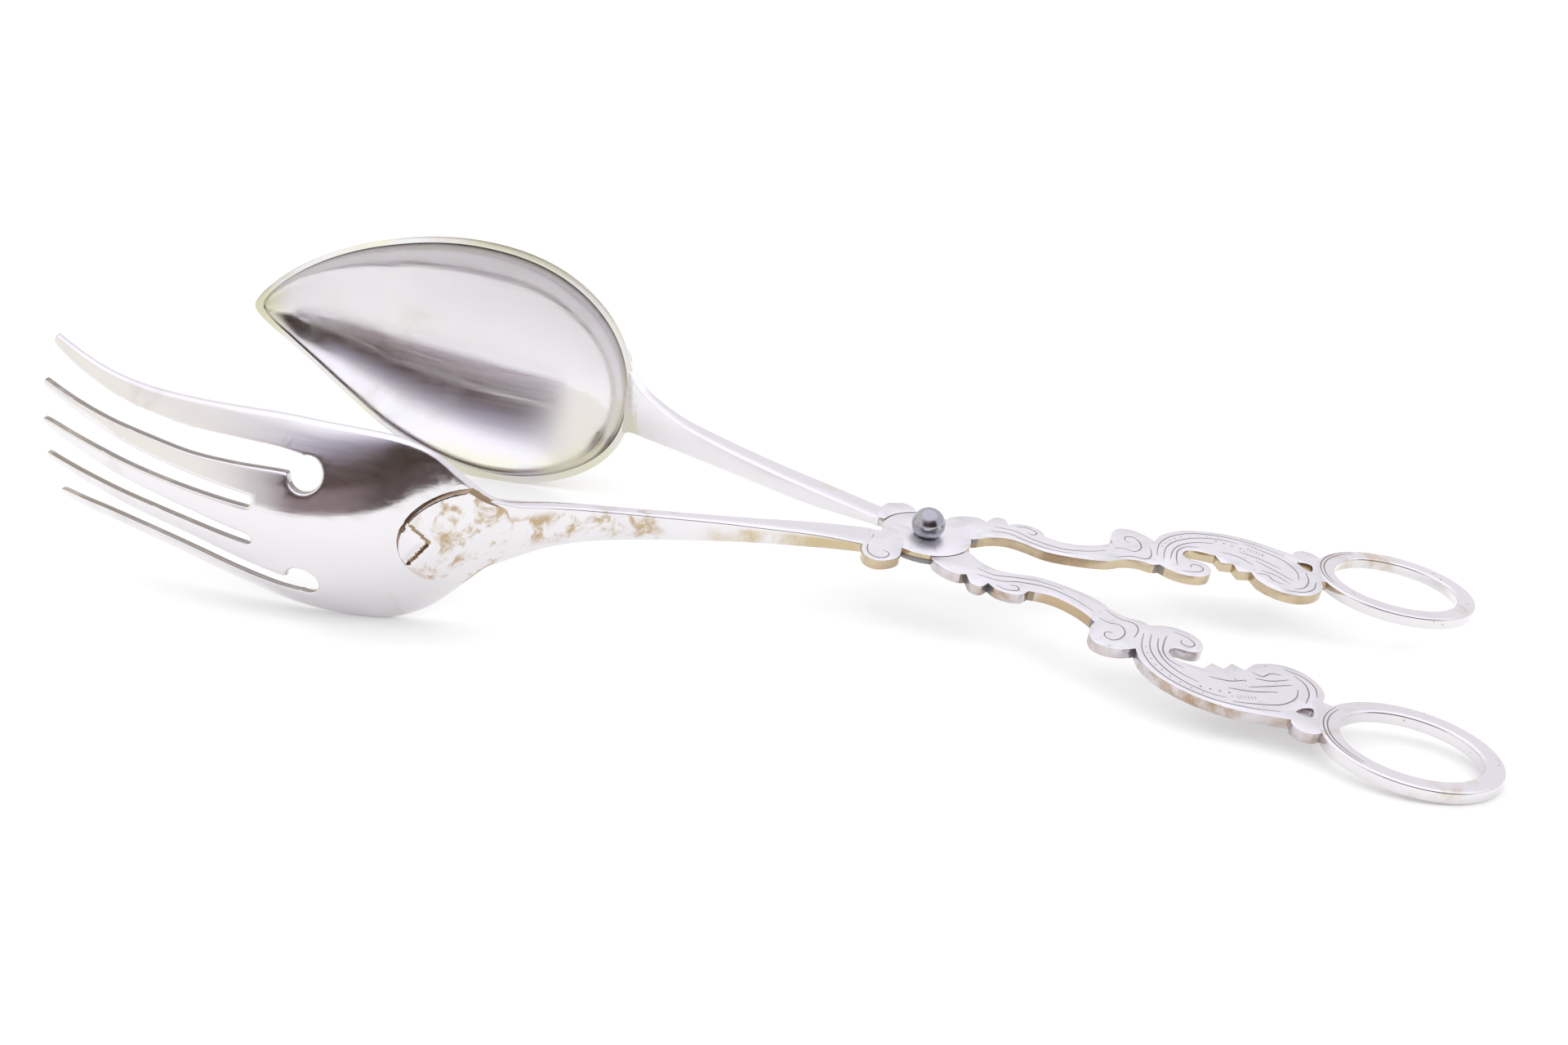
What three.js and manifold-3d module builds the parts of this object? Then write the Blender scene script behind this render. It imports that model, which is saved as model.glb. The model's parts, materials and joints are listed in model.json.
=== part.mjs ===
// Scissor-action serving tongs in silver: a five-tined fork and a deep spoon on crossed arms, with
// pierced scroll handles and oval finger rings, turning on one ball-headed pivot. Millimetres.
//
// The pieces are drawn in the tongs' own frame: the pivot pin along +Z, the finger rings towards +X,
// the spoon on the +Y side, and the middle plane, y = 0, halfway between the rings. The tongs are
// then laid on their three resting points, +Z up, with the origin under the middle of the object.
import * as THREE from 'three';
import { mergeVertices } from 'three/addons/utils/BufferGeometryUtils.js';
import Module from 'manifold-3d';

const wasm = await Module();
wasm.setup();

// ---- Driving dimensions ----------------------------------------------------------------------

const GAP = 0.3; // clearance left between neighbouring pieces
const PLATE_THICKNESS = 2;
const PLATE_TOP = PLATE_THICKNESS / 2;
const THROUGH = 5; // half height of a cutter that passes right through a plate

// Half-lap joint: inside the lap circle each arm keeps only its own half of the plate.
const PIVOT = new THREE.Vector2(0.2, 3);
const BOSS_RADIUS = 9;
const LAP_RADIUS = 9.8;
const PIN_RADIUS = 1.6;
const BORE_RADIUS = PIN_RADIUS + GAP;
const BALL_RADIUS = 3.15;
const BALL_CENTRE = 2.0; // height of the ball's centre above its seat
const WASHER_RADIUS = 4.2;
const WASHER_THICKNESS = 0.7;
const NUT_RADIUS = 3.2;
const NUT_THICKNESS = 1.9;

// Finger ring: an oval band of flat bar, thicker than the plate it is soldered to.
const RING_CENTRE = new THREE.Vector2(93.7, 31.8);
const RING_OUTER = new THREE.Vector2(16.1, 13.3);
const RING_INNER = new THREE.Vector2(12.4, 9.8);
const RING_THICKNESS = 2.5;

// Spoon bowl, from its tip to its heel.
const BOWL_TIP = -166;
const BOWL_HEEL = -72.1;
const BOWL_HALF_WIDTH = 28.5;
const EGG_SKEW = 1.476; // above 1, the widest place lies nearer the heel
const EGG_FULLNESS = 0.436;
const BOWL_DEPTH = 16;
const BOWL_WALL = 1.5;

// Fork blade: five tines, four slots, with a round hole closing each outer slot.
const BLADE_TIP = -169;
const BLADE_HEEL = -73;
const BLADE_WALL = 1.7;
const OUTER_SLOT_HOLE = { x: -105.6, z: 10.9, radius: 3.1 };

// Heel drop: the rounded tongue that backs the joint of stem and head.
const DROP_TIP = -88.5;
const DROP_HALF_WIDTH = 9.8;
const DROP_THICKNESS = 1.1;
const DROP_GAP = 0.5; // wider than GAP, because its facets bridge the curve that it follows

// ---- Lines that the pieces follow --------------------------------------------------------------

// Smooth line through [x, value] points, read as value(x).
function line(points) {
  const curve = new THREE.SplineCurve(points.map(([x, value]) => new THREE.Vector2(x, value)));
  const samples = curve.getPoints(points.length * 24);
  return (x) => {
    let i = samples.findIndex((sample) => sample.x <= x);
    if (i < 0) i = samples.length - 1;
    if (i === 0) return samples[0].y;
    const [before, after] = [samples[i - 1], samples[i]];
    return THREE.MathUtils.mapLinear(x, before.x, after.x, before.y, after.y);
  };
}

// Spoon: distance of the rim from the tongs' middle plane.
const rimLine = line([
  [-71, 32], [-80, 34.4], [-92, 35.2], [-110, 35], [-130, 36.8],
  [-141, 39.1], [-151, 40.6], [-158, 40.3], [-163, 38.4], [-167, 35.6],
]);

// Fork: distance of the blade's edges, how far its middle is dished behind them, and half width.
const bladeEdge = line([
  [-72, 34.6], [-78, 39.6], [-84, 42.8], [-92, 45.6], [-104, 47.7],
  [-116, 47.4], [-130, 46.1], [-145, 43.6], [-158, 39.6], [-170, 34],
]);
const bladeDish = line([
  [-72, 0.2], [-78, 1], [-84, 2.9], [-92, 5.6], [-104, 7.6],
  [-116, 8], [-130, 6.8], [-145, 5.2], [-158, 4], [-170, 3.8],
]);
const bladeHalfWidth = line([
  [-72, 5], [-76, 7.4], [-80, 11.4], [-85, 16], [-91, 18.6], [-98, 19.3], [-106, 19.3],
  [-113, 18.9], [-122, 17.8], [-131, 16.7], [-141, 15.8], [-151, 15.7], [-160, 16.5], [-170, 17.6],
]);

// Stem stations: [x, y, width seen from above, half height].
const FORK_STEM = [
  [-12, -4.3, 7.2, 1], [-20.5, -7.1, 5.4, 1.6], [-35, -13, 3.4, 2.1], [-49.5, -19.4, 2.8, 2.7],
  [-60, -24.6, 2.4, 3.4], [-67, -29.2, 2.3, 4.3], [-71.9, -33.8, 2.3, 5.4],
];
const SPOON_STEM = [
  [-12, 8, 5.2, 1], [-24.5, 10.9, 5.2, 1.9], [-35, 14.2, 4.8, 2.2], [-48, 18.9, 4.2, 2.7],
  [-58, 22.9, 3.4, 3.4], [-66, 27.3, 2.7, 4.7], [-71.9, 32.4, 2.4, 6.6],
];

// Handle plate: smooth stretches that meet at corners, from the pivot along the inner side to the
// ring and back along the outer side.
const HANDLE_STRETCHES = [
  [[5, 1.2], [9.2, 2.9], [12.5, 5.8], [16, 7.2], [19.6, 6.8], [23.3, 5.8], [27, 6], [32, 7.2],
    [36, 8.8], [39, 11.4], [42, 12.6], [44.6, 12.4], [46.2, 13.3]],
  [[46.2, 13.3], [48.4, 12.1], [51, 11.6], [53.8, 12.2], [55.8, 13.9], [56.5, 16.4], [55.6, 18.6],
    [53.8, 19.3], [52, 19.2], [50.7, 20], [50.5, 21.6], [51.5, 23.1], [53.6, 23.8], [56.9, 24]],
  [[58.3, 21.3]],
  [[60.6, 22.1]],
  [[61.9, 19.4]],
  [[64.4, 20.5]],
  [[65.8, 17.6], [68.2, 15.9], [71.6, 15], [75, 15.9], [77.6, 18.4], [78.8, 21.6], [78.5, 24.6]],
  [[86, 27]],
  [[86, 35]],
  [[78.4, 35.3], [76.8, 36.7], [74.7, 36.8], [73.1, 35.4], [72.8, 33.8]],
  [[72.8, 33.8], [69, 34.6], [65, 35.4], [61, 35.6], [57, 35], [53.5, 33.8], [50, 32],
    [47.5, 29.8], [45.4, 26.8], [44.4, 23.4]],
  [[44.4, 23.4], [42, 25.1], [39.4, 25.8], [36.9, 25.1], [35.7, 22.8], [35.6, 20], [36.2, 17.6]],
  [[36.2, 17.6], [34.5, 15.7], [32, 13.8], [29, 12.4], [26, 11.9], [22.8, 12.4]],
  [[22.8, 12.4], [21.7, 14.5], [19.3, 15.4], [16.9, 15], [15, 13.5]],
  [[15, 13.5], [13.9, 15.6], [11.9, 15.3], [10.5, 12.3]],
  [[10.5, 12.3], [8.8, 13.1], [6.2, 12.4], [3.6, 10.4], [2.6, 7.8]],
];
const PIERCED_HOLE = [[73.6, 30.6], [74.8, 28.9], [76.6, 28], [76.7, 30.6], [75.4, 31.2]];

// Front ends of the plates, past the pivot: the stem's landing and a small lobe.
const FORK_FRONT = [
  [[-4, 1]],
  [[-10.6, -0.8]],
  [[-10.6, -8.2], [-10.1, -10.6], [-8.9, -12.4], [-6.9, -13.1], [-5, -12.2], [-3.5, -10.5],
    [-2.9, -8.6], [-3.2, -5]],
];
const SPOON_FRONT = [
  [[-4, 5]],
  [[-10.6, 5.2]],
  [[-10.6, 10.5], [-9.8, 12.4], [-8.4, 13.5], [-6.4, 14.2], [-4.7, 13.4], [-3.5, 11.8],
    [-2.6, 9.5]],
];

const silver = { color: 0xd9d6da, roughness: 0.22, metalness: 1 };

// ---- Solids ----------------------------------------------------------------------------------

function toSolid(geometry) {
  geometry.deleteAttribute('normal');
  geometry.deleteAttribute('uv');
  const merged = mergeVertices(geometry, 1e-4);
  return new wasm.Manifold(new wasm.Mesh({
    numProp: 3,
    vertProperties: new Float32Array(merged.attributes.position.array),
    triVerts: new Uint32Array(merged.index.array),
  }));
}

function toGeometry(solid) {
  const mesh = solid.getMesh();
  const geometry = new THREE.BufferGeometry();
  geometry.setAttribute('position', new THREE.BufferAttribute(mesh.vertProperties, 3));
  geometry.setIndex(new THREE.BufferAttribute(mesh.triVerts, 1));
  return geometry;
}

// Closed surface from index triangles.
function fromTriangles(points, triangles) {
  const geometry = new THREE.BufferGeometry().setFromPoints(points);
  geometry.setIndex(triangles.flat());
  const solid = toSolid(geometry);
  return solid.volume() < 0 ? flipped(points, triangles) : toGeometry(solid);
}

function flipped(points, triangles) {
  return fromTriangles(points, triangles.map(([a, b, c]) => [a, c, b]));
}

// A skin of even thickness: each row runs from edge to edge, once outside and once inside.
function skin(rows) {
  const across = rows[0].outer.length;
  const loop = 2 * across;
  const points = rows.flatMap(({ outer, inner }) => [...outer, ...inner.toReversed()]);
  const triangles = [];
  const quad = (a, b, c, d) => triangles.push([a, b, c], [a, c, d]);
  for (let row = 0; row < rows.length - 1; row += 1) {
    const [here, next] = [row * loop, (row + 1) * loop];
    for (let i = 0; i < loop; i += 1) {
      const j = (i + 1) % loop;
      quad(here + i, here + j, next + j, next + i);
    }
  }
  const last = (rows.length - 1) * loop;
  for (let i = 0; i < across - 1; i += 1) {
    const [a, b] = [i, i + 1];
    const [c, d] = [loop - 1 - b, loop - 1 - a];
    quad(d, c, b, a);
    quad(last + a, last + b, last + c, last + d);
  }
  return fromTriangles(points, triangles);
}

// A bar lofted through convex sections that all have the same number of points.
function bar(sections) {
  const loop = sections[0].length;
  const triangles = [];
  for (let row = 0; row < sections.length - 1; row += 1) {
    const [here, next] = [row * loop, (row + 1) * loop];
    for (let i = 0; i < loop; i += 1) {
      const j = (i + 1) % loop;
      triangles.push([here + i, here + j, next + j], [here + i, next + j, next + i]);
    }
  }
  const last = (sections.length - 1) * loop;
  for (let i = 1; i < loop - 1; i += 1) {
    triangles.push([0, i + 1, i], [last, last + i, last + i + 1]);
  }
  return fromTriangles(sections.flat(), triangles);
}

// The handles mirror each other in the line from the pivot to midway between the rings.
function handlePoint([x, y], side) {
  return new THREE.Vector2(x, side * y + PIVOT.y * (1 - x / RING_CENTRE.x));
}

function plainPoint([x, y]) {
  return new THREE.Vector2(x, y);
}

function outline(stretches, place = plainPoint, stepsPerSpan = 3) {
  const points = stretches.flatMap((stretch) => {
    const knots = stretch.map(place);
    if (knots.length < 3) return knots;
    return new THREE.SplineCurve(knots).getPoints((knots.length - 1) * stepsPerSpan);
  });
  const distinct = points.filter((point, i) => i === 0 || point.distanceTo(points[i - 1]) > 0.01);
  return new THREE.Shape(distinct);
}

function slab(shape, bottom, top, curveSegments = 24) {
  const options = { depth: top - bottom, bevelEnabled: false, curveSegments };
  return new THREE.ExtrudeGeometry(shape, options).translate(0, 0, bottom);
}

function disc(radius, bottom, top, segments = 48) {
  const geometry = new THREE.CylinderGeometry(radius, radius, top - bottom, segments);
  return geometry.rotateX(Math.PI / 2).translate(0, 0, (top + bottom) / 2);
}

function ellipse(centre, radii, side, grown = 0) {
  const shape = new THREE.Shape();
  shape.absellipse(centre.x, side * centre.y, radii.x + grown, radii.y + grown, 0, Math.PI * 2);
  return shape;
}

function piece(name, geometry, finish = silver) {
  const mesh = new THREE.Mesh(geometry, new THREE.MeshStandardMaterial(finish));
  mesh.name = name;
  return mesh;
}

// ---- Spoon -----------------------------------------------------------------------------------

// Half width of the egg-shaped rim: full near the heel and drawn out towards the tip.
function bowlHalfWidth(x) {
  const along = THREE.MathUtils.clamp((x - BOWL_TIP) / (BOWL_HEEL - BOWL_TIP), 0, 1);
  return BOWL_HALF_WIDTH * Math.sin(Math.PI * along ** EGG_SKEW) ** EGG_FULLNESS;
}

function bowlDepth(x) {
  return BOWL_DEPTH * (bowlHalfWidth(x) / BOWL_HALF_WIDTH) ** 1.15;
}

// Half of an ellipse across the bowl at x, drawn from one edge of the rim to the other.
function bowlArc(x, inset) {
  const halfWidth = Math.max(bowlHalfWidth(x) - inset, 0.45 * bowlHalfWidth(x));
  const depth = Math.max(bowlDepth(x) - inset, 0.45 * bowlDepth(x));
  const steps = 14;
  return Array.from({ length: steps + 1 }, (_, i) => {
    const angle = Math.PI * (i / steps - 0.5);
    const drop = depth * Math.cos(angle) ** 1.2;
    return new THREE.Vector3(x, rimLine(x) + drop, halfWidth * Math.sin(angle));
  });
}

function spoonBowl() {
  const steps = 24;
  const rows = Array.from({ length: steps + 1 }, (_, i) => {
    const eased = (1 - Math.cos(Math.PI * (0.04 + 0.94 * (i / steps)))) / 2;
    const x = THREE.MathUtils.lerp(BOWL_TIP, BOWL_HEEL, eased);
    return { outer: bowlArc(x, 0), inner: bowlArc(x, BOWL_WALL) };
  });
  return skin(rows);
}

// ---- Fork ------------------------------------------------------------------------------------

// Point of the blade's back at x, a share of the way from its middle line (0) to its edge (1).
function bladePoint(x, share, behind = 0) {
  const distance = bladeEdge(x) + bladeDish(x) * (1 - share ** 2) + behind;
  return new THREE.Vector3(x, -distance, share * bladeHalfWidth(x));
}

function acrossBlade(x, behind, steps = 16) {
  return Array.from({ length: steps + 1 }, (_, i) =>
    bladePoint(x, THREE.MathUtils.lerp(-1, 1, i / steps), behind));
}

// Slot between two tines, in the plane of x and z: [x, inner side, outer side] from root to tip.
const INNER_SLOT = [
  [-116, 2.8, 5], [-130, 2.1, 4.9], [-140, 1.8, 5.1], [-150, 1.6, 5.6], [-160, 1.2, 6.3],
  [-166, 0.9, 6.9], [-169.4, 0.2, 7.4],
];
const OUTER_SLOT = [
  [-106.6, 10.9, 13.9], [-112, 10.5, 14.1], [-121, 9.4, 13.4], [-130, 8.5, 12.5],
  [-140, 8.3, 12.2], [-150, 8, 12.6], [-160, 8, 14.2], [-165.5, 8, 15.4], [-169.4, 7.5, 16.4],
];
const SIDE_RELIEF = [[-164, 17, 26], [-166.6, 17, 26], [-169.4, 16.4, 26]];

function slotCutter(stations, side, rounded) {
  const inner = stations.map(([x, from]) => new THREE.Vector2(x, side * from));
  const outer = stations.map(([x, , to]) => new THREE.Vector2(x, side * to)).reverse();
  const shape = new THREE.Shape();
  shape.moveTo(inner[0].x, inner[0].y);
  shape.splineThru(inner.slice(1));
  shape.lineTo(outer[0].x, outer[0].y);
  shape.splineThru(outer.slice(1));
  const cut = toSolid(slab(shape, -80, 0, 4).rotateX(Math.PI / 2).translate(0, -80, 0));
  if (!rounded) return cut;
  const { x, z, radius } = rounded;
  return cut.add(toSolid(disc(radius, 0, 80, 28).rotateX(Math.PI / 2).translate(x, 0, side * z)));
}

function forkBlade() {
  const steps = 28;
  const rows = Array.from({ length: steps + 1 }, (_, i) => {
    const x = THREE.MathUtils.lerp(BLADE_HEEL, BLADE_TIP, (i / steps) ** 1.15);
    return { outer: acrossBlade(x, BLADE_WALL / 2), inner: acrossBlade(x, -BLADE_WALL / 2) };
  });
  const innerEnd = { x: INNER_SLOT[0][0], z: 3.9, radius: 1.1 };
  const cutters = [1, -1].flatMap((side) => [
    slotCutter(INNER_SLOT, side, innerEnd),
    slotCutter(OUTER_SLOT, side, OUTER_SLOT_HOLE),
    slotCutter(SIDE_RELIEF, side),
  ]);
  return toGeometry(cutters.reduce((blade, cut) => blade.subtract(cut), toSolid(skin(rows))));
}

// ---- Heel drops and stems --------------------------------------------------------------------

// Share of the drop's full half width at x: a round end at the tip, narrowing towards the stem.
function dropHalfWidth(x) {
  const fromTip = (DROP_TIP - x) / (DROP_TIP - BLADE_HEEL);
  return DROP_HALF_WIDTH * Math.sqrt(1 - (1 - Math.min(fromTip * 1.6, 1)) ** 2) * (1 - 0.3 * fromTip);
}

function heelDrop(backPoint) {
  const [steps, across] = [12, 8];
  const rows = Array.from({ length: steps + 1 }, (_, i) => {
    const x = THREE.MathUtils.lerp(DROP_TIP + 0.1, BLADE_HEEL - GAP, (i / steps) ** 1.5);
    const layer = (behind) => Array.from({ length: across + 1 }, (_, j) =>
      backPoint(x, dropHalfWidth(x) * THREE.MathUtils.lerp(-1, 1, j / across), behind));
    return { outer: layer(DROP_GAP + DROP_THICKNESS), inner: layer(DROP_GAP) };
  });
  return skin(rows);
}

function forkBack(x, z, behind) {
  const share = THREE.MathUtils.clamp(z / bladeHalfWidth(x), -1, 1);
  const point = bladePoint(x, share, BLADE_WALL / 2 + behind);
  return point.setZ(z);
}

function spoonBack(x, z, behind) {
  const share = THREE.MathUtils.clamp(z / bowlHalfWidth(x), -1, 1);
  const drop = bowlDepth(x) * (1 - share ** 2) ** 0.6;
  return new THREE.Vector3(x, rimLine(x) + drop + behind, z);
}

// Bar with bevelled corners, standing tall at the head and lying flat at the pivot.
function stem(stations) {
  const path = new THREE.SplineCurve(stations.map(plainPoint));
  const width = line(stations.map(([x, , value]) => [x, value]));
  const halfHeight = line(stations.map(([x, , , value]) => [x, value]));
  const steps = 14;
  const sections = Array.from({ length: steps + 1 }, (_, i) => {
    const centre = path.getPoint(i / steps);
    const along = path.getTangent(i / steps);
    const [w, h] = [width(centre.x) / 2, halfHeight(centre.x)];
    const corner = 0.25 * Math.min(w, h);
    const section = [
      [-w, h - corner], [corner - w, h], [w - corner, h], [w, h - corner],
      [w, corner - h], [w - corner, -h], [corner - w, -h], [-w, corner - h],
    ];
    return section.map(([out, up]) =>
      new THREE.Vector3(centre.x - along.y * out, centre.y + along.x * out, up));
  });
  return bar(sections);
}

// ---- Handles, rings and pivot ----------------------------------------------------------------

// Scroll plate of one arm: its handle lies on the given side, its front end on the other. The upper
// arm keeps the top half of the lap and the lower arm the bottom half.
function handlePlate(side, front, upper) {
  const full = (shape) => toSolid(slab(shape, -PLATE_TOP, PLATE_TOP));
  const atPivot = (geometry) => toSolid(geometry.translate(PIVOT.x, PIVOT.y, 0));
  const onSide = (point) => handlePoint(point, side);
  const [lapBottom, lapTop] = upper ? [-2 * PLATE_TOP, GAP / 2] : [-GAP / 2, 2 * PLATE_TOP];
  const plate = full(outline(HANDLE_STRETCHES, onSide))
    .add(full(outline(front)))
    .add(atPivot(disc(BOSS_RADIUS, -PLATE_TOP, PLATE_TOP)))
    .subtract(atPivot(disc(LAP_RADIUS, lapBottom, lapTop)))
    .subtract(atPivot(disc(BORE_RADIUS, -THROUGH, THROUGH, 32)))
    .subtract(toSolid(slab(ellipse(RING_CENTRE, RING_OUTER, side, GAP), -THROUGH, THROUGH)))
    .subtract(toSolid(slab(outline([PIERCED_HOLE], onSide, 2), -THROUGH, THROUGH)));
  return toGeometry(plate);
}

function fingerRing(side) {
  const shape = ellipse(RING_CENTRE, RING_OUTER, side);
  shape.holes.push(ellipse(RING_CENTRE, RING_INNER, side));
  return slab(shape, -RING_THICKNESS / 2, RING_THICKNESS / 2);
}

function turned(profile, segments = 32) {
  const points = profile.map(([radius, height]) => new THREE.Vector2(radius, height));
  return new THREE.LatheGeometry(points, segments).rotateX(Math.PI / 2);
}

function pivotBall() {
  const seat = PLATE_TOP + GAP;
  const centre = seat + BALL_CENTRE;
  const first = Math.asin(-BALL_CENTRE / BALL_RADIUS);
  const arc = Array.from({ length: 13 }, (_, i) => {
    const angle = THREE.MathUtils.lerp(first, Math.PI / 2, i / 12);
    return [i === 12 ? 0 : BALL_RADIUS * Math.cos(angle), centre + BALL_RADIUS * Math.sin(angle)];
  });
  return turned([[0, centre + 0.6], [BORE_RADIUS, centre + 0.6], [BORE_RADIUS, seat], ...arc]);
}

const WASHER_TOP = -PLATE_TOP - GAP;
const NUT_TOP = WASHER_TOP - WASHER_THICKNESS - GAP;
const NUT_BOTTOM = NUT_TOP - NUT_THICKNESS;

function pivotPin() {
  const [bottom, top] = [NUT_BOTTOM + 0.2, PLATE_TOP + GAP + BALL_CENTRE + 0.3];
  return turned([[0, bottom], [PIN_RADIUS, bottom], [PIN_RADIUS, top], [0, top]], 24);
}

function collar(radius, bottom, top, chamfer) {
  return turned([
    [BORE_RADIUS, bottom], [radius - chamfer, bottom], [radius, bottom + chamfer],
    [radius, top], [BORE_RADIUS, top], [BORE_RADIUS, bottom],
  ]);
}

// ---- Assembly --------------------------------------------------------------------------------

const spoonBowlMesh = piece('spoon_bowl', spoonBowl());
const forkBladeMesh = piece('fork_blade', forkBlade());
const nearRingMesh = piece('spoon_finger_ring', fingerRing(-1));

const tongs = new THREE.Group();

const pivot = new THREE.Group();
pivot.position.set(PIVOT.x, PIVOT.y, 0);
pivot.add(
  piece('pivot_ball', pivotBall(), { color: 0x8a8890, roughness: 0.12, metalness: 1 }),
  piece('pivot_pin', pivotPin()),
  piece('pivot_washer', collar(WASHER_RADIUS, WASHER_TOP - WASHER_THICKNESS, WASHER_TOP, 0.2)),
  piece('pivot_nut', collar(NUT_RADIUS, NUT_BOTTOM, NUT_TOP, 0.6)),
);

const forkArm = new THREE.Group();
forkArm.add(
  forkBladeMesh,
  piece('fork_heel_drop', heelDrop(forkBack)),
  piece('fork_stem', stem(FORK_STEM)),
  piece('fork_handle', handlePlate(1, FORK_FRONT, true)),
  piece('fork_finger_ring', fingerRing(1)),
  pivot,
);

const spoonArm = new THREE.Group();
spoonArm.add(
  spoonBowlMesh,
  piece('spoon_heel_drop', heelDrop(spoonBack)),
  piece('spoon_stem', stem(SPOON_STEM)),
  piece('spoon_handle', handlePlate(-1, SPOON_FRONT, false)),
  nearRingMesh,
);
tongs.add(forkArm, spoonArm);

function lowestPoint(mesh, up) {
  const position = mesh.geometry.attributes.position;
  let lowest = null;
  for (let i = 0; i < position.count; i += 1) {
    const point = new THREE.Vector3().fromBufferAttribute(position, i);
    if (!lowest || point.dot(up) < lowest.dot(up)) lowest = point;
  }
  return lowest;
}

// Direction that points straight up when the tongs stand on one point of each of three pieces.
function restingUp(feet) {
  const up = new THREE.Vector3(0, 0, 1);
  for (let round = 0; round < 12; round += 1) {
    const [a, b, c] = feet.map((mesh) => lowestPoint(mesh, up));
    up.copy(b.sub(a).cross(c.sub(a))).normalize();
    if (up.z < 0) up.negate();
  }
  return up;
}

const vertical = new THREE.Vector3(0, 0, 1);
tongs.quaternion.setFromUnitVectors(restingUp([spoonBowlMesh, forkBladeMesh, nearRingMesh]), vertical);

const object = new THREE.Group();
object.add(tongs);
object.updateMatrixWorld(true);
const box = new THREE.Box3().setFromObject(object, true);
const middle = box.getCenter(new THREE.Vector3());
tongs.position.set(-middle.x, -middle.y, -box.min.z);

export default object;
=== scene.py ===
"""Silver serving tongs: polished pieces modelled around the fixed frame, with a pale studio."""

import json
import math

import bpy
import numpy as np
from mathutils import Matrix, Vector


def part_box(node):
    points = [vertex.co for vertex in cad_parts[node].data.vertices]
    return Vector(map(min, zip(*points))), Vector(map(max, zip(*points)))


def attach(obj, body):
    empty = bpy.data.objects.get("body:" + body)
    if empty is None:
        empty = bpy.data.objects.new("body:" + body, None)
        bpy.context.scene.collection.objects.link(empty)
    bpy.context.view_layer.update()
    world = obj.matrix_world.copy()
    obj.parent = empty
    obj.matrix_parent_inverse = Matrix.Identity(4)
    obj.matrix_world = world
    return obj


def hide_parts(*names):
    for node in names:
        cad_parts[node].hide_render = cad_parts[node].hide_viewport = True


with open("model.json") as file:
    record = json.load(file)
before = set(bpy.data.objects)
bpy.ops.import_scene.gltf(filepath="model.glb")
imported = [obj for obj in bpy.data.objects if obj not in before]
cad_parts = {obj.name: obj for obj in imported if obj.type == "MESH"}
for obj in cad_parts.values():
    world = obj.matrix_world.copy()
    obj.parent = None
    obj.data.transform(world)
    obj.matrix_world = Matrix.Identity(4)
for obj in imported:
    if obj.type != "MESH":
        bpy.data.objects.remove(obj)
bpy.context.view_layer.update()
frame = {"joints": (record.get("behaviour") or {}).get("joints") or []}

bl_info = {
    "name": "Silver serving tongs",
    "version": (1, 0, 0),
    "blender": (4, 5, 0),
    "location": "View3D > Sidebar > Tongs",
    "description": "Builds scissor-action silver serving tongs around a fixed frame",
    "category": "Object",
}

# ---- The tongs' own frame: millimetres, pivot pin along Z, finger rings towards X ----------------

MM = 0.001
RING_X = 93.7  # distance from the frame's origin to the line through both rings


def box_middle(node):
    """Middle of a CAD node's box."""
    low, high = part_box(node)
    return (low + high) / 2


def tongs_frame():
    """Matrix that takes the tongs' own millimetres to the part's metres."""
    far, near = box_middle("fork_finger_ring"), box_middle("spoon_finger_ring")
    up = Vector(frame["joints"][0]["axis"]).normalized()
    side = (far - near).normalized()
    along = side.cross(up)
    origin = (far + near) / 2 - along * RING_X * MM
    turn = Matrix((along, side, up)).transposed().to_4x4()
    return Matrix.Translation(origin) @ turn @ Matrix.Scale(MM, 4)


TONGS = tongs_frame()
PIVOT = TONGS.inverted() @ Vector(frame["joints"][0]["pos_m"])

# ---- Shapes in millimetres ---------------------------------------------------------------------

PLATE_TOP = 1.0
RING_CENTRE = (RING_X, 31.8)
RING_OUTER = (16.1, 13.3)
RING_INNER = (12.4, 9.8)
BALL_HEIGHT = 2.3  # of the ball's centre above the plate
BALL_SEAT = 0.04  # of the ball's cut underside above the plate
BORE_RADIUS = 1.9
BORE_SIDES = 48
THROUGH = (-3, 3)  # heights that a cut right through a plate starts and ends at
WASHER_RADIUS = 4.2
WASHER_TOP = -1.15
WASHER_THICKNESS = 0.8
WASHER_RISE = 0.12  # closes most of the gap between the washer and the plates
NUT_RADIUS = 3.2
NUT_THICKNESS = 2.1
NUT_NOTCH = (1.6, 0.8, 1.2)
PIN_PLAY = 0.3  # round the pin, in the bores of the plates
PIN_END = 0.25  # how far the pin stands out below the nut
PIN_GRIP = 1  # how far the pin reaches into the ball
THREAD_PLAY = 0.02  # between the pin and the washer and nut, and between those two

BOWL_TIP = -166
BOWL_HEEL = -72.1
EGG_SKEW = 1.476
EGG_FULLNESS = 0.436
BOWL_DEPTH = 16
BOWL_ROUNDNESS = 0.72  # 0.5 for a round section, more for a shallower one
DEPTH_FALL = 1.15  # 1 for a depth that falls with the width towards the ends, more to fall faster
BOWL_SPAN = (0.012, 0.997)  # shares of the bowl's length that its skin reaches
RIM_LINE = [
    (-71, 32), (-80, 34.4), (-92, 35.2), (-110, 35), (-130, 36.8),
    (-141, 39.1), (-151, 40.6), (-158, 40.3), (-163, 38.4), (-167, 35.6),
]

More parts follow.
